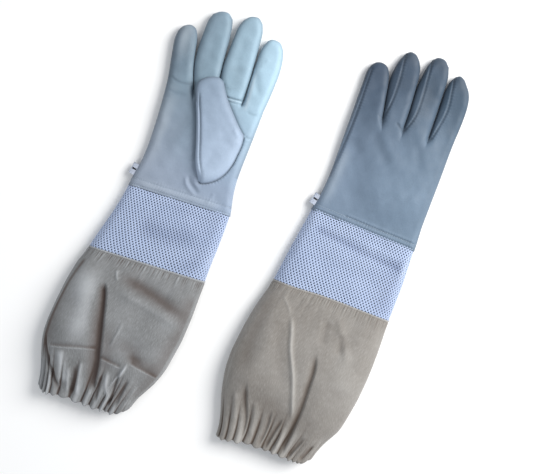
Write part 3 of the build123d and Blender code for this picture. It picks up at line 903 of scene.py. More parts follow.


# The gauntlets' folds and tucks. Their tones paint brown shade into the valleys and highlights onto the
# ridges; those with no rise are broad painted shade.
CANVAS_MARKS = {
    "right": [
        Mark([(-59, -112), (-54, -124), (-50, -138), (-45, -160), (-40, -185), (-36, -205),
            (-33, -240)], -5.5, 7.5,
             ends=0.1, lean=0.28, tone=1.15),
        Mark([(-66, -122), (-57, -150), (-50, -180), (-44, -215),
            (-42, -246)], -1.8, 7.5, ends=0.3, tone=0.4),
        Mark([(-41, -150), (-34, -175), (-29, -200), (-27, -225)], -0.8, 11.0, ends=0.35, tone=0.38),
        Mark([(-78, -96), (-74, -112), (-71, -136), (-70, -160),
            (-70, -196)], 2.2, 14.0, ends=0.3, tone=-0.42),
        Mark([(-86, -96), (-82, -120), (-79, -150)], 0.8, 12.0, ends=0.4, tone=-0.28),
        Mark([(-87, -94), (-95, -118), (-101.5, -150), (-104, -185),
            (-101, -222)], -0.5, 2.0, ends=0.05, tone=0.9),
        Mark([(-98, -125), (-101, -150), (-102, -180), (-99, -205)], -0.6, 8.0, ends=0.2, tone=0.3),
        Mark([(46, -96), (43, -130), (38, -165), (30, -205), (20, -240)], 0.0, 13.0, ends=0.1, tone=0.45),
        Mark([(-12, -186), (12, -190), (34, -196)], -0.9, 8.0, ends=0.3, tone=0.4),
        Mark([(-48, -96), (-46, -103), (-43, -109)], 1.5, 1.8, tone=-0.4),
        Mark([(-50, -101), (-20, -107), (12, -116), (48, -128)], -3.2, 9.0, ends=0.3, tone=0.8),
        Mark([(-42, -119), (-10, -125), (20, -132), (44, -141)], 1.5, 5.0, ends=0.2, tone=-0.08),
        Mark([(20, -150), (34, -140), (42, -128)], 0.8, 10.0, ends=0.4, tone=-0.2),
        *tuck([(-98, -203), (-78, -198), (-60, -193.5), (-41, -190)], lean=2.2, tone=0.45),
        *tuck([(-37, -198), (-24, -200), (-10, -202)], lean=2.2, tone=0.5),
        *tuck([(-3, -193.6), (14, -198), (34, -203.6)], lean=2.6, tone=0.5),
        Mark([(-9, -203), (-10, -222), (-12, -252)], -2.8, 2.6, lean=0.4, tone=0.9),
        Mark([(-3, -192), (-7, -206), (-14, -220), (-18, -244)], 2.1, 1.9, ends=0.2, tone=-0.75),
        Mark([(-23, -208), (-21, -222), (-16, -240)], 1.4, 2.2, tone=-0.45),
        Mark([(3, -210), (0, -226), (-4, -250)], -2.2, 3.0, lean=0.4, tone=0.6),
        Mark([(-28, -212), (-28, -226), (-26, -250)], -1.8, 3.0, lean=0.4, tone=0.7),
        Mark([(-22, -150), (-25, -165), (-29, -184)], 0.9, 1.6, tone=-0.25),
        Mark([(-26, -172), (-6, -178), (12, -184)], -1.1, 9.5, ends=0.4, tone=0.35),
        Mark([(-10, -187), (4, -187), (16, -191)], -1.4, 5.0, ends=0.4, tone=0.35),
        Mark([(-107, -180), (-99, -203), (-89, -221), (-79, -235),
            (-68, -252)], -3.2, 3.4, lean=0.35, tone=0.95),
        Mark([(-82, -200), (-76, -216), (-68, -240)], 1.8, 5.5, ends=0.2, tone=-0.7),
        Mark([(-60, -210), (-58, -228), (-55, -252)], -1.8, 3.2, lean=0.4, tone=0.6),
        Mark([(-67, -216), (-64, -232), (-60, -250)], 1.4, 2.6, tone=-0.4),
        Mark([(-54, -206), (-53, -224), (-50, -248)], 1.5, 2.4, ends=0.2, tone=-0.55),
        Mark([(14, -214), (11, -228), (5, -250)], 1.4, 3.0, tone=-0.25),
        Mark([(-24, -218), (0, -230), (20, -224)], -0.5, 14.0, ends=0.5, tone=0.28),
        Mark([(-103.5, -150), (-105, -170), (-104.5, -192)], -0.8, 2.6, tone=0.45),
    ],
    "left": [
        Mark([(-40, -118), (-33, -132), (-25, -155), (-10, -185), (0, -210),
            (9, -234)], 2.4, 2.6, ends=0.15, tone=-0.45),
        Mark([(-50, -128), (-42, -150), (-28, -180), (-14, -206)], -1.1, 8.0, tone=0.1),
        Mark([(3, -148), (9, -168), (11, -190), (13, -215), (13, -245),
            (13, -276)], -3.2, 5.5, ends=0.15, lean=0.3, tone=0.8),
        Mark([(20, -170), (24, -200), (24, -230)], 1.2, 8.0),
        Mark([(2, -108), (4, -124), (6, -142)], -1.5, 5.0, tone=0.12),
        Mark([(22, -118), (26, -130), (28, -144)], -1.5, 4.5, tone=0.14),
        Mark([(8, -96), (20, -115), (34, -136), (42, -154)], 1.4, 5.0),
        Mark([(-66, -100), (-69, -130), (-70, -165), (-66, -205)], -1.2, 8.0, tone=0.3),
        Mark([(-79, -112), (-82, -150), (-83, -190), (-78, -228)], 0.4, 2.6, ends=0.1, tone=-0.35),
        Mark([(-44, -215), (0, -232), (44, -226)], -0.8, 14.0, tone=0.22),
        Mark([(26, -130), (40, -160), (44, -186)], 0.6, 16.0, tone=-0.2),
        Mark([(-58, -208), (-49, -230), (-41, -249), (-36, -276)], -2.6, 4.6, lean=0.3, tone=0.8),
        Mark([(-66, -222), (-58, -240), (-52, -260)], 1.5, 4.0, tone=-0.15),
        Mark([(-40, -224), (-33, -242), (-28, -272)], 1.5, 4.0, tone=-0.15),
        Mark([(-18, -228), (-15, -250), (-16, -276)], -1.8, 3.4, lean=0.35, tone=0.55),
        Mark([(-2, -232), (-5, -252), (-8, -276)], -2.2, 3.2, lean=0.3, tone=0.8),
        Mark([(30, -244), (25, -260), (20, -276)], -2.0, 3.2, lean=0.3, tone=0.75),
        Mark([(43, -248), (38, -262), (34, -274)], -2.0, 3.2, lean=0.3, tone=0.75),
        Mark([(2, -240), (3, -256), (3, -272)], 1.4, 3.0),
        Mark([(-56, -102), (-46, -112), (-38, -122)], 0.8, 1.6, tone=-0.2),
        Mark([(48, -110), (52, -150), (50, -190)], 0.8, 10.0),
    ],
}


def gathers(shares, seed, count, uneven=1.0):
    """A closed run of uneven pleats round a tube, from 0 in a crease to 1 on a fold."""
    random = np.random.default_rng(seed)
    steps = random.uniform(0.55, 1.5, count) ** uneven
    ends = np.concatenate([[0], np.cumsum(steps)]) / steps.sum()
    heights = random.uniform(0.55, 1.0, count)
    which = np.clip(np.searchsorted(ends, shares % 1.0, side="right") - 1, 0, count - 1)
    t = (shares % 1.0 - ends[which]) / (ends[which + 1] - ends[which])
    return heights[which] * np.sin(pi * t) ** (1 / 1.6)


PLEATS = {"right": (32, 33, 1.9), "left": (48, 27, 1.1)}      # above the hem: seed, count, unevenness
CANVAS_SEED = {"right": 31, "left": 47}
CALM_FROM = {"right": -14, "left": 10}      # where the hem's pleats begin to die away towards the index side
BAND_PAINTED_LIGHT = {"right": 1.0, "left": 0.55}    # how strongly painted shade and highlights lie on the band's gathers


def hem_pleats(side, shares):
    """The deep pleats that the elastic draws in above the hem."""
    seed, count, uneven = PLEATS[side]
    return gathers(shares, seed, count, uneven)


CANVAS_COLUMNS = 402    # points round the canvas
CANVAS_FLOOR = 0.12     # the canvas goes no lower than this above the surface
ELASTIC_FLOOR = 0.3     # and its elastic no lower than this


def canvas_shape(side, rows, shares):
    """The canvas with its folds, the fine gathers under the mesh and the deep ones above the elastic, with
    painted shade in their creases and painted highlights on their folds.
    """
    tube = TUBES[side]
    points, cloth = tube.grid(rows, shares)
    up = facing_up(points, rows, tube)
    flat = points[..., :2].reshape(-1, 2)
    rise, tone = (part.reshape(up.shape) for part in marks_at(flat, CANVAS_MARKS[side]))
    seed = CANVAS_SEED[side]
    y = rows[:, None]
    below = BAND[side][0] - y
    near_band = np.exp(-(np.clip(below, 0, None) / 11.0) ** 2)
    calm = 1 - 0.82 * smoothstep(points[..., 0], CALM_FROM[side], CALM_FROM[side] + 24) * (up > 0)
    near_hem = smoothstep(y, HEM[side][0] + 58, HEM[side][0]) ** 1.4 * calm
    fine = 0.6 * gathers(shares, seed, 118)[None] + 0.4 * gathers(shares, seed + 5, 61)[None]
    deep, wide = hem_pleats(side, shares)[None], gathers(shares, seed + 2, 13)[None]
    lazy = gathers(shares, seed + 7, 22)[None]
    broad, small = (ripple(flat, *wave).reshape(up.shape) for wave in ((46, seed), (19, seed + 3)))
    soft = broad * 0.5 + small * 0.13
    points[..., 2] += up * (rise + soft * (1 - near_band))
    # Gathers push the cloth in and out along its own normal.
    push = near_band * ((fine - 0.5) * 1.5 * smoothstep(below, 0.2, 3.0) + 0.25)
    push += 0.45 * np.exp(-(((below - 0.4) / 0.9) ** 2)) - 0.4 * np.exp(-(((below - 2.2) / 0.8) ** 2))
    push += near_hem * ((deep - 0.75) * 4.4 + (wide - 0.7) * 2.0 * (1 - near_hem))
    push += (lazy - 0.6) * 1.1 * smoothstep(below, 3, 14) * np.exp(-np.clip(below - 8, 0, None) / 24)
    # Painted shade in the creases of the pleats and gathers and painted highlights on their folds, then a
    # painted dark line and a painted light strip where the band meets the gauntlet.
    hem_painted_light = 1.5 * smoothstep(0.5 - deep, 0, 0.36) - 0.5 * smoothstep(deep, 0.72, 0.95)
    band_painted_light = 1.15 * smoothstep(0.6 - fine, 0, 0.35) - 0.5 * smoothstep(fine, 0.68, 0.95)
    tone = tone * smoothstep(up, 0, 0.25) + near_hem * hem_painted_light
    tone = tone + near_band * smoothstep(below, 1.5, 5.0) * BAND_PAINTED_LIGHT[side] * band_painted_light
    tone = tone - 0.55 * np.exp(-(((below - 0.6) / 1.0) ** 2)) + 0.3 * np.exp(-(((below - 2.4) / 0.8) ** 2))
    return points, cloth, push, tone


def pushed(points, push):
    """A closed tube's points moved outwards along its normals."""
    rows, columns = points.shape[:2]
    flat = points.reshape(-1, 3)
    faces = quads(rows, columns, wrap=True)
    normals = normals_of(flat, faces)
    if side_outward(flat, normals) < 0:
        normals = -normals
    return (flat + normals * push.reshape(-1, 1)).reshape(points.shape), normals.reshape(points.shape)


def rolled(name, plan, rows, insets, surface, material):
    """A wall of cloth that follows rows of a tube's surface, each set in from it by some millimetres."""
    points, normals, cloth, tone = (field[rows] for field in surface)
    points = points - normals * np.array(insets)[:, None, None]
    kept = normals * (np.array(insets) == 0)[:, None, None]
    points[..., 2] = np.maximum(points[..., 2], CANVAS_FLOOR)
    closed = [np.concatenate([field, field[:1]]) for field in (points, cloth, tone)]
    count, columns = closed[0].shape[:2]
    faces = quads(count, columns, wrap=True)
    flat, faces, laid, dark, kept = weld(closed[0].reshape(-1, 3), faces, closed[1].reshape(-1, 3),
                                         closed[2].reshape(-1), np.vstack([kept, kept[:1]]).reshape(-1, 3))
    if (normals_of(flat, faces) * kept)[flat[:, 2] > 4].sum() < 0 and min(insets) == insets[0]:
        faces = faces[:, ::-1]
    own = normals_of(flat, faces)
    outer = (own * kept).sum(1) > 0.3
    own[outer] = kept[outer]
    return piece(name, plan, flat, faces, material, cloth=laid, tone=np.clip(dark, -1, 1), normals=own)


def canvas_pieces(side, plan, material):
    """The gathered band under the mesh, the gauntlet and the elastic's casing, from one run of cloth."""
    shares = np.arange(CANVAS_COLUMNS) / CANVAS_COLUMNS
    band, hem = BAND[side], HEM[side]
    above = np.linspace(band[0], band[1], 14)
    body = np.linspace(band[1], hem[0], 118)[1:]
    casing = np.linspace(hem[0], hem[1], 15)[1:]
    rows = np.concatenate([above, body, casing])
    points, cloth, push, tone = canvas_shape(side, rows, shares)
    deep = hem_pleats(side, shares)
    curl = smoothstep(rows, hem[0] + 4, hem[1])[:, None]
    points[..., 1] -= curl * (deep - 0.75)[None] * 3.0
    points, _ = pushed(points, push)
    _, normals = pushed(points, 0 * push)
    surface = (points, normals, cloth, tone)
    a, b, c = len(above) - 1, len(above) + len(body) - 1, len(rows) - 1

    def there_and_back(first, last, depth):
        down = list(range(first, last + 1))
        return down + down[::-1], [0] * len(down) + [depth] * len(down)

    made = {}
    for node, first, last in (("gather_band", 0, a), ("gauntlet", a, b)):
        order, insets = there_and_back(first, last, 1.0)
        made[node] = rolled(f"{side}_{node}_canvas", plan, order, insets, surface, material)
    down = list(range(b, c + 1))
    insets = [0] * (len(down) - 3) + [0.15, 0.7, 1.7] + [2.7, 3.3] + [3.4] * (len(down) - 5) + [2.4, 1.0]
    back = [c - 1, c - 2] + down[::-1][3:] + [b]
    order = down + back[: len(insets) - len(down)]
    made["hem_casing"] = rolled(f"{side}_hem_canvas", plan, order, insets[: len(order)], surface, material)
    return made, surface, (b, c)


def hem_elastic(side, plan, surface, span, material):
    """The ribbed elastic inside the casing."""
    first, last = span
    inside = list(range(first + 3, last - 2))
    points, normals, cloth, _ = surface
    rib = 0.12 * np.sin(2 * pi * np.arange(points.shape[1]) / 3.0)[:, None]
    outer = [points[i] - normals[i] * (1.5 - rib) for i in inside]
    inner = [points[i] - normals[i] * (2.1 + rib) for i in inside[::-1]]
    laid = [cloth[i] for i in inside + inside[::-1]]
    loop = np.array(outer + inner + outer[:1])
    loop[..., 2] = np.maximum(loop[..., 2], ELASTIC_FLOOR)
    faces = quads(len(loop), loop.shape[1], wrap=True)
    flat, faces, laid = weld(loop.reshape(-1, 3), faces, np.array(laid + laid[:1]).reshape(-1, 3))
    return piece(f"{side}_hem_elastic_band", plan, flat, faces, material, cloth=laid)


# ---------------------------------------------------------------- stitches and labels

def stitches(name, plan, runs, material):
    """Rows of short threads: each run is points in the plan, the length of a stitch and the gap after it."""
    points, faces = [], []
    six = np.linspace(0, 2 * pi, 7)[:-1]
    for line, length, gap, radius in runs:
        line = np.asarray(line, float)
        far = np.concatenate([[0], np.cumsum(np.linalg.norm(np.diff(line, axis=0), axis=1))])
        at = np.arange(0.5, far[-1] - length, length + gap)
        starts = np.column_stack([np.interp(at, far, line[:, i]) for i in range(3)])
        ends = np.column_stack([np.interp(at + length, far, line[:, i]) for i in range(3)])
        for a, b in zip(starts, ends):
            run = (b - a) / max(np.linalg.norm(b - a), 1e-6)
            side = np.cross(run, (0, 0, 1.0))
            side /= max(np.linalg.norm(side), 1e-6)
            lift = np.cross(side, run)
            first = len(points)
            for share, size in ((0, 0.35), (0.15, 0.85), (0.5, 1.0), (0.85, 0.85), (1, 0.35)):
                middle = a + (b - a) * share + lift * radius * (0.35 * sin(pi * share) - 0.1)
                points += [middle + radius * size * (cos(t) * side + 0.75 * sin(t) * lift) for t in six]
            faces += quads(5, 6, first, wrap=True).tolist()
            for base, order in ((first, 1), (first + 24, -1)):
                ring = [base + k for k in range(6)][::-order]
                faces += [[ring[0], ring[1], ring[2], ring[3]], [ring[0], ring[3], ring[4], ring[5]]]
    return piece(name, plan, np.array(points), np.array(faces), material)


def on_leather(hand, line, above):
    """A line in the plan laid on the hand's top."""
    flat = smooth_line(line, 0.8) if len(line) > 2 else np.array(line, float)
    top, _, _ = hand.heights(flat, hand.palm_puff(flat))
    return np.column_stack([flat, top + above])


LABEL_AT = {"right": (-62.6, 19.0, radians(-12)), "left": (-59.6, 12.0, radians(-13))}     # x, y and turn
LABEL_SIZE = (7.6, 13.4, 8.6)       # how far it stands out, its width, and its height off the surface


def label_loop(side, plan, material, bar):
    """A folded tape caught in the side seam, blank but for a plain dark bar."""
    x, y, turn = LABEL_AT[side]
    out, wide, z = LABEL_SIZE
    upper = [(-1, 0.2), (2, 0.7), (5, 0.75), (out - 0.5, 0.6)]
    profile = smooth_line(upper + [(out, 0)] + [(d, -h) for d, h in upper[::-1]], 0.5)
    across = np.linspace(-wide / 2, wide / 2, 17)

    def placed(distance, along, height):
        droop = 0.035 * distance**2 + 0.25 * sin(along / wide * 3)
        across = x - distance * cos(turn) - along * sin(turn)
        return across, y - distance * sin(turn) + along * cos(turn), z + height - droop

    def wall(line, over):
        flow = np.gradient(line, axis=0)
        outward = np.column_stack([-flow[:, 1], flow[:, 0]]) / np.maximum(np.hypot(*flow.T), 1e-6)[:, None]
        return np.array([[placed(d, a, h) for a in over] for d, h in line]), outward

    def strip(name, line, over, thick, look):
        outer, outward = wall(line, over)
        inner, _ = wall(line - thick * outward, over)
        rows, columns = outer.shape[:2]
        count = rows * columns
        loop = [*range(columns), *range(2 * columns - 1, count, columns),
                *range(count - 2, count - columns - 1, -1), *range(count - 2 * columns, 0, -columns)]
        rim = [[b, a, a + count, b + count] for a, b in zip(loop, loop[1:] + loop[:1])]
        faces = np.vstack([quads(rows, columns, flip=True), quads(rows, columns, count), rim])
        return piece(name, plan, np.vstack([outer.reshape(-1, 3), inner.reshape(-1, 3)]), faces, look)

    tape = strip(f"{side}_label_tape", profile, across, 0.3, material)
    far = (profile[:, 0] > 0.6) & (profile[:, 0] < 6.6) & (profile[:, 1] > 0)
    printed = strip(f"{side}_label_bar", profile[far] + (0, 0.14), np.linspace(-0.9, 1.0, 4), 0.1, bar)
    return tape, printed


# ---------------------------------------------------------------- materials

class Look:
    """A material being wired up."""

    def __init__(self, name, **sockets):
        self.material = bpy.data.materials.new(name)
        self.material.use_nodes = True
        self.tree = self.material.node_tree
        self.shader = self.tree.nodes["Principled BSDF"]
        for socket, value in sockets.items():
            self.shader.inputs[socket.replace("_", " ")].default_value = value
        self.cloth = self.attribute("cloth").outputs["Vector"]
        # The tone: painted shade above 0, painted highlight below 0.
        self.tone = self.attribute("tone").outputs["Fac"]

    def node(self, kind, inputs=None, **settings):
        made = self.tree.nodes.new("ShaderNode" + kind)
        for key, value in settings.items():
            setattr(made, key, value)
        for key, value in (inputs or {}).items():
            if isinstance(value, bpy.types.NodeSocket):
                self.tree.links.new(value, made.inputs[key])
            else:
                made.inputs[key].default_value = value
        return made

    def attribute(self, name):
        """A value kept on the mesh's points."""
        return self.node("Attribute", attribute_name=name)

    def math(self, operation, a, b=0.0, clamp=False):
        return self.node("Math", {0: a, 1: b}, operation=operation, use_clamp=clamp).outputs[0]

    def noise(self, scale, detail=3.0, roughness=0.5, vector=None):
        """Wandering noise; the scale is in features to a millimetre of cloth."""
        inputs = {"Vector": vector or self.cloth, "Scale": scale, "Detail": detail, "Roughness": roughness}
        return self.node("TexNoise", inputs).outputs["Fac"]

    def cells(self, scale, feature="F1"):
        inputs = {"Vector": self.cloth, "Scale": scale}
        return self.node("TexVoronoi", inputs, feature=feature).outputs["Distance"]

    def ramp(self, value, low, high, low_to=0.0, high_to=1.0):
        inputs = {"Value": value, "From Min": low, "From Max": high, "To Min": low_to, "To Max": high_to}
        return self.node("MapRange", inputs).outputs["Result"]

    def mix(self, share, a, b, blend="MIX"):
        made = self.node("Mix", data_type="RGBA", blend_type=blend)
        for index, value in ((0, share), (6, a), (7, b)):
            if isinstance(value, bpy.types.NodeSocket):
                self.tree.links.new(value, made.inputs[index])
            else:
                made.inputs[index].default_value = value
        return made.outputs[2]

    def shaded(self, colour, share):
        """A colour times a grey."""
        grey = self.node("CombineColor", {0: share, 1: share, 2: share}).outputs[0]
        return self.mix(1.0, colour, grey, "MULTIPLY")

    def axis(self, number):
        return self.node("SeparateXYZ", {"Vector": self.cloth}).outputs[number]

    def bump(self, height, strength, distance, after=None):
        """A normal raised by a height, over a distance in millimetres, after another bump if there is one."""
        inputs = {"Height": height, "Strength": strength, "Distance": distance * MM}
        if after is not None:
            inputs["Normal"] = after
        return self.node("Bump", inputs).outputs["Normal"]

    def finish(self, colour, roughness, normal):
        for socket, value in (("Base Color", colour), ("Roughness", roughness), ("Normal", normal)):
            self.tree.links.new(value, self.shader.inputs[socket])
        return self.material


def rgb(red, green, blue):
    """A screen colour from 0 to 255, as the shader's linear colour."""
    screen = (red, green, blue)
    return tuple(((v / 255 + 0.055) / 1.055) ** 2.4 if v > 10 else v / 3294 for v in screen) + (1.0,)


def leather(name, wrist, tips, across=(-60, 62), reach=(30, 140)):
    """Thin goatskin: a colour that runs across and along the skin, pebbled grain, fine creases, painted shade
    in seams, creases and along edges, and painted highlights on high spots.

    wrist and tips are each the colour at the little side and at the index side.
    """
    look = Look(name, Specular_IOR_Level=0.32, Sheen_Weight=0.12, Sheen_Roughness=0.4)
    wander = look.math("MULTIPLY", look.math("SUBTRACT", look.noise(0.02, 3.0), 0.5), 40.0)
    # The colour runs across the skin and along it; on the palm the bright index side is partly painted light.
    sideways = look.ramp(look.math("ADD", look.axis(0), wander), *across)
    lengthways = look.ramp(look.math("ADD", look.axis(1), wander), *reach)
    base = look.mix(lengthways, look.mix(sideways, *wrist), look.mix(sideways, *tips))
    mottled = look.ramp(look.noise(0.12, 5.0, 0.6), 0.3, 0.7, 0.965, 1.03)
    base = look.shaded(base, mottled)
    grain = look.cells(1.15, "DISTANCE_TO_EDGE")
    fine = look.cells(2.9)
    pits = look.ramp(grain, 0.0, 0.12, 0.85, 1.0)
    base = look.shaded(base, pits)
    # Painted shade in seams, creases and along edges, then painted highlights, both from the tone kept on the
    # points.
    dark = look.math("MULTIPLY", look.tone, 0.62, clamp=True)
    base = look.mix(dark, base, rgb(62, 70, 80))
    light = look.math("MULTIPLY", look.tone, -0.6, clamp=True)
    base = look.mix(light, base, rgb(214, 224, 232))
    rough = look.ramp(look.noise(0.09, 4.0), 0.3, 0.7, 0.5, 0.66)
    height = look.math("ADD", look.ramp(grain, 0.0, 0.3), look.math("MULTIPLY", fine, 0.35))
    normal = look.bump(height, 0.35, 0.12)
    normal = look.bump(look.noise(0.32, 4.0, 0.6), 0.28, 0.55, normal)
    return look.finish(base, rough, normal)


def net(name):
    """White polyester net: matt yarn with a fine rib, and painted grey shade in its creases."""
    look = Look(name, Specular_IOR_Level=0.25, Sheen_Weight=0.2, Sheen_Roughness=0.5)
    base = look.mix(look.noise(0.03, 3.0), rgb(160, 176, 206), rgb(176, 191, 219))
    # Painted shade, from the tone kept on the points.
    dark = look.math("MULTIPLY", look.tone, 0.9, clamp=True)
    base = look.mix(dark, base, rgb(84, 98, 134))
    waves = {"Vector": look.cloth, "Scale": 0.9, "Distortion": 1.5, "Detail": 2.0}
    yarn = look.node("TexWave", waves).outputs["Fac"]
    base = look.mix(look.ramp(yarn, 0.2, 0.8, 0.0, 0.14), base, rgb(140, 150, 185))
    rough = look.ramp(look.noise(0.4), 0.3, 0.7, 0.62, 0.78)
    return look.finish(base, rough, look.bump(yarn, 0.4, 0.12))


def canvas(name, shaded, fair, crease, pale, weave_depth=1.0):
    """Plain-weave cotton: warp and weft at half a millimetre, slubs, painted highlights on high spots and
    painted brown shade in creases.
    """
    look = Look(name, Specular_IOR_Level=0.15, Sheen_Weight=0.25, Sheen_Roughness=0.6)
    x, y = look.axis(0), look.axis(1)
    sway = look.math("MULTIPLY", look.noise(0.25, 2.0), 1.2)
    warp = look.math("SINE", look.math("MULTIPLY", look.math("ADD", x, sway), 2 * pi / 0.95))
    weft = look.math("SINE", look.math("MULTIPLY", look.math("ADD", y, sway), 2 * pi / 0.95))
    weave = look.math("MULTIPLY", warp, weft)
    base = look.mix(look.ramp(look.noise(0.014, 4.0, 0.55), 0.35, 0.65), shaded, fair)
    stretched = look.node("Mapping", {"Vector": look.cloth, "Scale": (1.0, 0.12, 1.0)}).outputs[0]
    slub = look.noise(1.4, 2.0, 0.5, stretched)
    base = look.mix(look.ramp(slub, 0.42, 0.7, 0.0, 0.22), base, pale)
    base = look.mix(look.ramp(weave, -1.0, 1.0, 0.2 * weave_depth, 0.0), base, crease)
    speck = look.ramp(look.noise(0.7, 4.0, 0.7), 0.35, 0.65, 0.0, 0.12)
    base = look.mix(speck, base, crease)
    # Painted brown shade in the creases and painted highlights on the high spots, from the tone kept on the
    # points.
    base = look.mix(look.math("MULTIPLY", look.tone, 0.85, clamp=True), base, crease)
    base = look.mix(look.math("MULTIPLY", look.tone, -0.8, clamp=True), base, pale)
    rough = look.ramp(look.noise(0.5), 0.3, 0.7, 0.8, 0.92)
    normal = look.bump(weave, 0.5 * weave_depth, 0.14)
    normal = look.bump(look.noise(0.16, 4.0, 0.6), 0.2 * weave_depth, 0.8, normal)
    return look.finish(base, rough, normal)


def thread(name, colour, deep):
    """Twisted sewing thread."""
    look = Look(name, Specular_IOR_Level=0.3, Sheen_Weight=0.2)
    waves = {"Vector": look.cloth, "Scale": 3.0, "Distortion": 0.6}
    twist = look.node("TexWave", waves, bands_direction="DIAGONAL").outputs["Fac"]
    rough = look.ramp(look.noise(0.6), 0.3, 0.7, 0.55, 0.75)
    return look.finish(look.mix(twist, deep, colour), rough, look.bump(twist, 0.5, 0.1))


def woven_tape(name, colour, deep, pitch=0.35):
    """Satin tape: fine ribs along it and a slight sheen."""
    look = Look(name, Specular_IOR_Level=0.45, Sheen_Weight=0.1)
    rib = look.math("SINE", look.math("MULTIPLY", look.axis(1), 2 * pi / pitch))
    base = look.mix(look.ramp(rib, -1.0, 1.0, 0.25, 0.0), colour, deep)
    base = look.mix(look.ramp(look.noise(0.35, 3.0), 0.4, 0.7, 0.0, 0.2), base, deep)
    rough = look.ramp(look.noise(0.8), 0.3, 0.7, 0.4, 0.55)
    return look.finish(base, rough, look.bump(rib, 0.4, 0.08))


# ---------------------------------------------------------------- the photograph's view, light and floor

def camera(right):
    """Straight above, turned as the photograph is, about 1.15 m up."""
    turn = radians(20)
    data = bpy.data.cameras.new("camera")
    height, field = 1.15, 0.613
    data.sensor_width = 36
    data.lens = 36 * height / field
    data.clip_start, data.clip_end = 0.02, 20
    spot = bpy.data.objects.new("camera", data)
    across, up = np.array([cos(turn), sin(turn)]), np.array([-sin(turn), cos(turn)])
    centre = right.origin + 0.0955 * across - 0.04025 * up
    spot.location = (centre[0], centre[1], height + 0.012)
    spot.rotation_euler = (0, 0, turn)
    bpy.context.scene.collection.objects.link(spot)
    bpy.context.scene.camera = spot


def lamp(name, place, aim, size, power, colour):
    """A round soft light."""
    data = bpy.data.lights.new(name, "AREA")
    data.shape, data.size, data.energy, data.color = "DISK", size, power, colour
    made = bpy.data.objects.new(name, data)
    made.location = place
    made.rotation_euler = (Vector(aim) - Vector(place)).to_track_quat("-Z", "Y").to_euler()
    bpy.context.scene.collection.objects.link(made)


def studio():
    """A pale floor, a soft key from the picture's upper right and an even fill."""
    world = bpy.data.worlds.new("studio")
    world.use_nodes = True
    back = world.node_tree.nodes["Background"]
    back.inputs["Color"].default_value = (0.93, 0.96, 1.0, 1.0)
    back.inputs["Strength"].default_value = 0.5
    bpy.context.scene.world = world
    lamp("key", (0.95, 0.7, 0.9), (0, 0.0, 0), 1.1, 31.0, (1.0, 0.985, 0.96))
    lamp("fill", (-0.9, -0.9, 1.3), (0, 0, 0), 1.4, 5.0, (0.92, 0.96, 1.0))
    mesh = bpy.data.meshes.new("floor")
    half = 3.0
    mesh.from_pydata([(-half, -half, 0), (half, -half, 0), (half, half, 0),
        (-half, half, 0)], [], [(0, 1, 2, 3)])
    floor = bpy.data.objects.new("floor", mesh)
    look = bpy.data.materials.new("floor")
    look.use_nodes = True
    shader = look.node_tree.nodes["Principled BSDF"]
    shader.inputs["Base Color"].default_value = (0.92, 0.92, 0.92, 1)
    shader.inputs["Roughness"].default_value = 0.9
    mesh.materials.append(look)
    bpy.context.scene.collection.objects.link(floor)
    bpy.context.scene.view_settings.view_transform = "Standard"
    bpy.context.scene.view_settings.exposure = 0.0


# ---------------------------------------------------------------- putting the pair together

def add_hand(side, piece_of_hand):
    """The palm and back move with the hand."""
    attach(piece_of_hand, f"{side}_hand")
    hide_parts(*(f"{side}_{node}" for node in (
        "palm_panel", "ring_middle_front", "back_panel", "wrist_hem",
        "fourchette_little_ring", "fourchette_ring_middle", "fourchette_middle_index")))


def add_fingers(side, plan, pieces):
    """Each finger's piece is fixed in the frame where it lies, and its CAD parts are hidden; a span 9 mm
    either side of its hinge is worked out but not used.
    """
    move = "curl" if side == "right" else "raise"
    for finger in FINGERS:
        joint = JOINTS[f"{side}_{finger}_{move}"]
        pivot, axis = plan.back(joint["pos_m"]), joint["axis"]
        run = np.array([-axis[1], axis[0]])
        run = np.array([run @ plan.across, run @ plan.along])
        run *= np.sign(run[1])
        start, end = pivot[:2] - 9 * run, pivot[:2] + 9 * run
        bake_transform(pieces[finger], f"{side}_hand", f"{side}_{finger}_finger",
                 start=plan.spot(*start, pivot[2]), end=plan.spot(*end, pivot[2]))
        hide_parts(*(f"{side}_{finger}_{part}" for part in ("front", "back", "fourchette")))


def add_thumb(side, plan, thumb):
    """The thumb's piece is fixed in the frame where it lies, and its CAD parts are hidden; a span from below
    its pivot at the sewn base to above it is worked out but not used.
    """
    run = np.array([-sin(THUMB_LEAN), cos(THUMB_LEAN)])
    start, end = np.array(THUMB_PIVOT) - 22 * run, np.array(THUMB_PIVOT) + 18 * run
    height = plan.back(JOINTS[f"{side}_thumb_swing"]["pos_m"])[2]
    plan.spot(*start, height)
    plan.spot(*end, height)
    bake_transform(thumb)
    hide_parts(f"{side}_thumb_outer", f"{side}_thumb_inner")


def add_sleeve(side, plan, sleeve):
    """The mesh sleeve is fixed in the frame where it lies, and its CAD parts are hidden; the wrist fold's
    place and the sleeve's girth are worked out but not used.
    """
    fold = plan.back(JOINTS[f"{side}_wrist_fold"]["pos_m"])
    plan.spot(*fold)
    plan.spot(fold[0], -2.0, fold[2])
    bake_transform(sleeve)
    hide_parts(f"{side}_mesh_upper", f"{side}_mesh_lower")
    TUBES[side].girth(SLEEVE_AT) * MM


def add_canvas(side, pieces, elastic):
    """The canvas and its elastic move with the cuff."""
    for node, thing in pieces.items():
        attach(thing, f"{side}_cuff")
        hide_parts(f"{side}_{node}")
    TUBES[side].girth(CANVAS_AT) * MM
    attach(elastic, f"{side}_cuff")
    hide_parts(f"{side}_hem_elastic")


def add_label(side, tape, bar):
    """The label moves with the hand, and stands for the plain CAD loop."""
    for thing in (tape, bar):
        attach(thing, f"{side}_hand")
    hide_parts(f"{side}_label_loop")


SEWN_ROWS = {"right": ((-64, 54), (2.2, 9.8)), "left": ((-60, 63.5),
(1.4, 7.2))}     # their ends, then their y


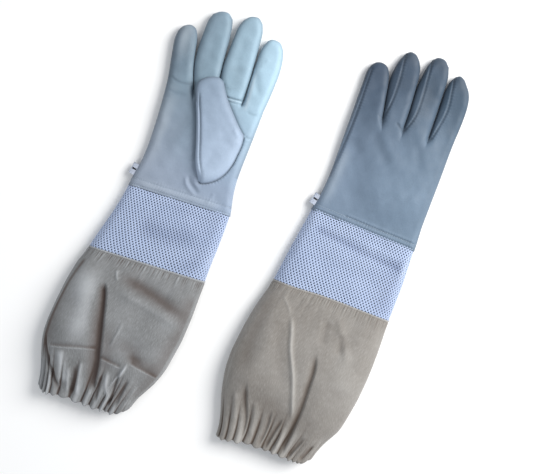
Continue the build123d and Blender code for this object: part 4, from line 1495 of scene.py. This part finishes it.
def wrist_stitching(side, plan, hand, material):
    """Two rows of stitches along the wrist seam, and on the right glove one round the thumb's base."""
    (start, end), rows = SEWN_ROWS[side]
    runs = []
    for y in rows:
        runs.append((on_leather(hand, [(start, y), ((start + end) / 2, y), (end, y)], 0.06), 1.5, 0.7, 0.24))
    if side == "right":
        base = [(x + 1.2 * (x > 20), y - 1.4) for x, y in THUMB[3][1:-1]]
        runs.append((on_leather(hand, base, 0.02), 1.3, 0.9, 0.2))
    sewn = stitches(f"{side}_wrist_stitching", plan, runs, material)
    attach(sewn, f"{side}_hand")


def build(side, looks):
    """One glove, from its hand to its hem, each piece made; the hand's leather, the canvas, the elastic, the
    label and the stitching are tied to their bodies.
    """
    plan = Plan(side)
    skin = looks[SKIN[side]]
    hand, pieces = leather_hand(side, plan, skin)
    add_hand(side, pieces["hand"])
    add_fingers(side, plan, pieces)
    add_thumb(side, plan, leather_thumb(side, plan, looks["thumb"] if side == "right" else skin))
    add_sleeve(side, plan, mesh_sleeve(side, plan, looks["net"]))
    pieces, surface, span = canvas_pieces(side, plan, looks[f"canvas_{side}"])
    add_canvas(side, pieces, hem_elastic(side, plan, surface, span, looks["elastic"]))
    add_label(side, *label_loop(side, plan, looks["label"], looks["bar"]))
    wrist_stitching(side, plan, hand, looks["thread_leather"])


def all_looks():
    """Every material of the pair."""
    # The palm brightens from the little side to the index side, most at the tips: partly the leather's own
    # colour, partly painted light.
    palm_wrist = (rgb(138, 149, 165), rgb(143, 159, 181))
    palm_tips = (rgb(94, 109, 123), rgb(172, 202, 220))
    thumb_wrist = (rgb(158, 174, 195), rgb(165, 182, 203))
    thumb_tip = (rgb(132, 149, 168), rgb(150, 167, 188))
    # The back darkens towards the fingertips.
    back_wrist = (rgb(110, 127, 147), rgb(106, 125, 144))
    back_tips = (rgb(56, 70, 88), rgb(62, 81, 99))
    # Canvas: two colours mixed at random, the dark of the weave and of painted shade, and the pale of slubs
    # and of painted highlights.
    taupe = (rgb(113, 116, 117), rgb(137, 140, 142), rgb(68, 50, 41), rgb(202, 206, 211))
    beige = (rgb(123, 119, 114), rgb(140, 137, 133), rgb(80, 65, 53), rgb(196, 195, 192))
    return {
        "palm": leather("leather_palm", palm_wrist, palm_tips),
        "thumb": leather("leather_thumb", thumb_wrist, thumb_tip, (-25, 40), (50, 130)),
        "back": leather("leather_back", back_wrist, back_tips, (-60, 60), (62, 175)),
        "net": net("mesh_net"),
        "canvas_right": canvas("canvas_taupe", *taupe),
        "canvas_left": canvas("canvas_beige", *beige, weave_depth=0.55),
        "elastic": woven_tape("elastic_white", rgb(205, 203, 198), rgb(150, 148, 144), 1.0),
        "label": woven_tape("label_satin", rgb(188, 196, 212), rgb(150, 158, 176)),
        "bar": woven_tape("label_bar_dark", rgb(20, 21, 30), rgb(12, 13, 20)),
        "thread_leather": thread("thread_grey", rgb(176, 190, 202), rgb(120, 134, 148)),
    }


def main():
    looks = all_looks()
    camera(Plan("right"))
    for side in ("right", "left"):
        build(side, looks)
    studio()


main()
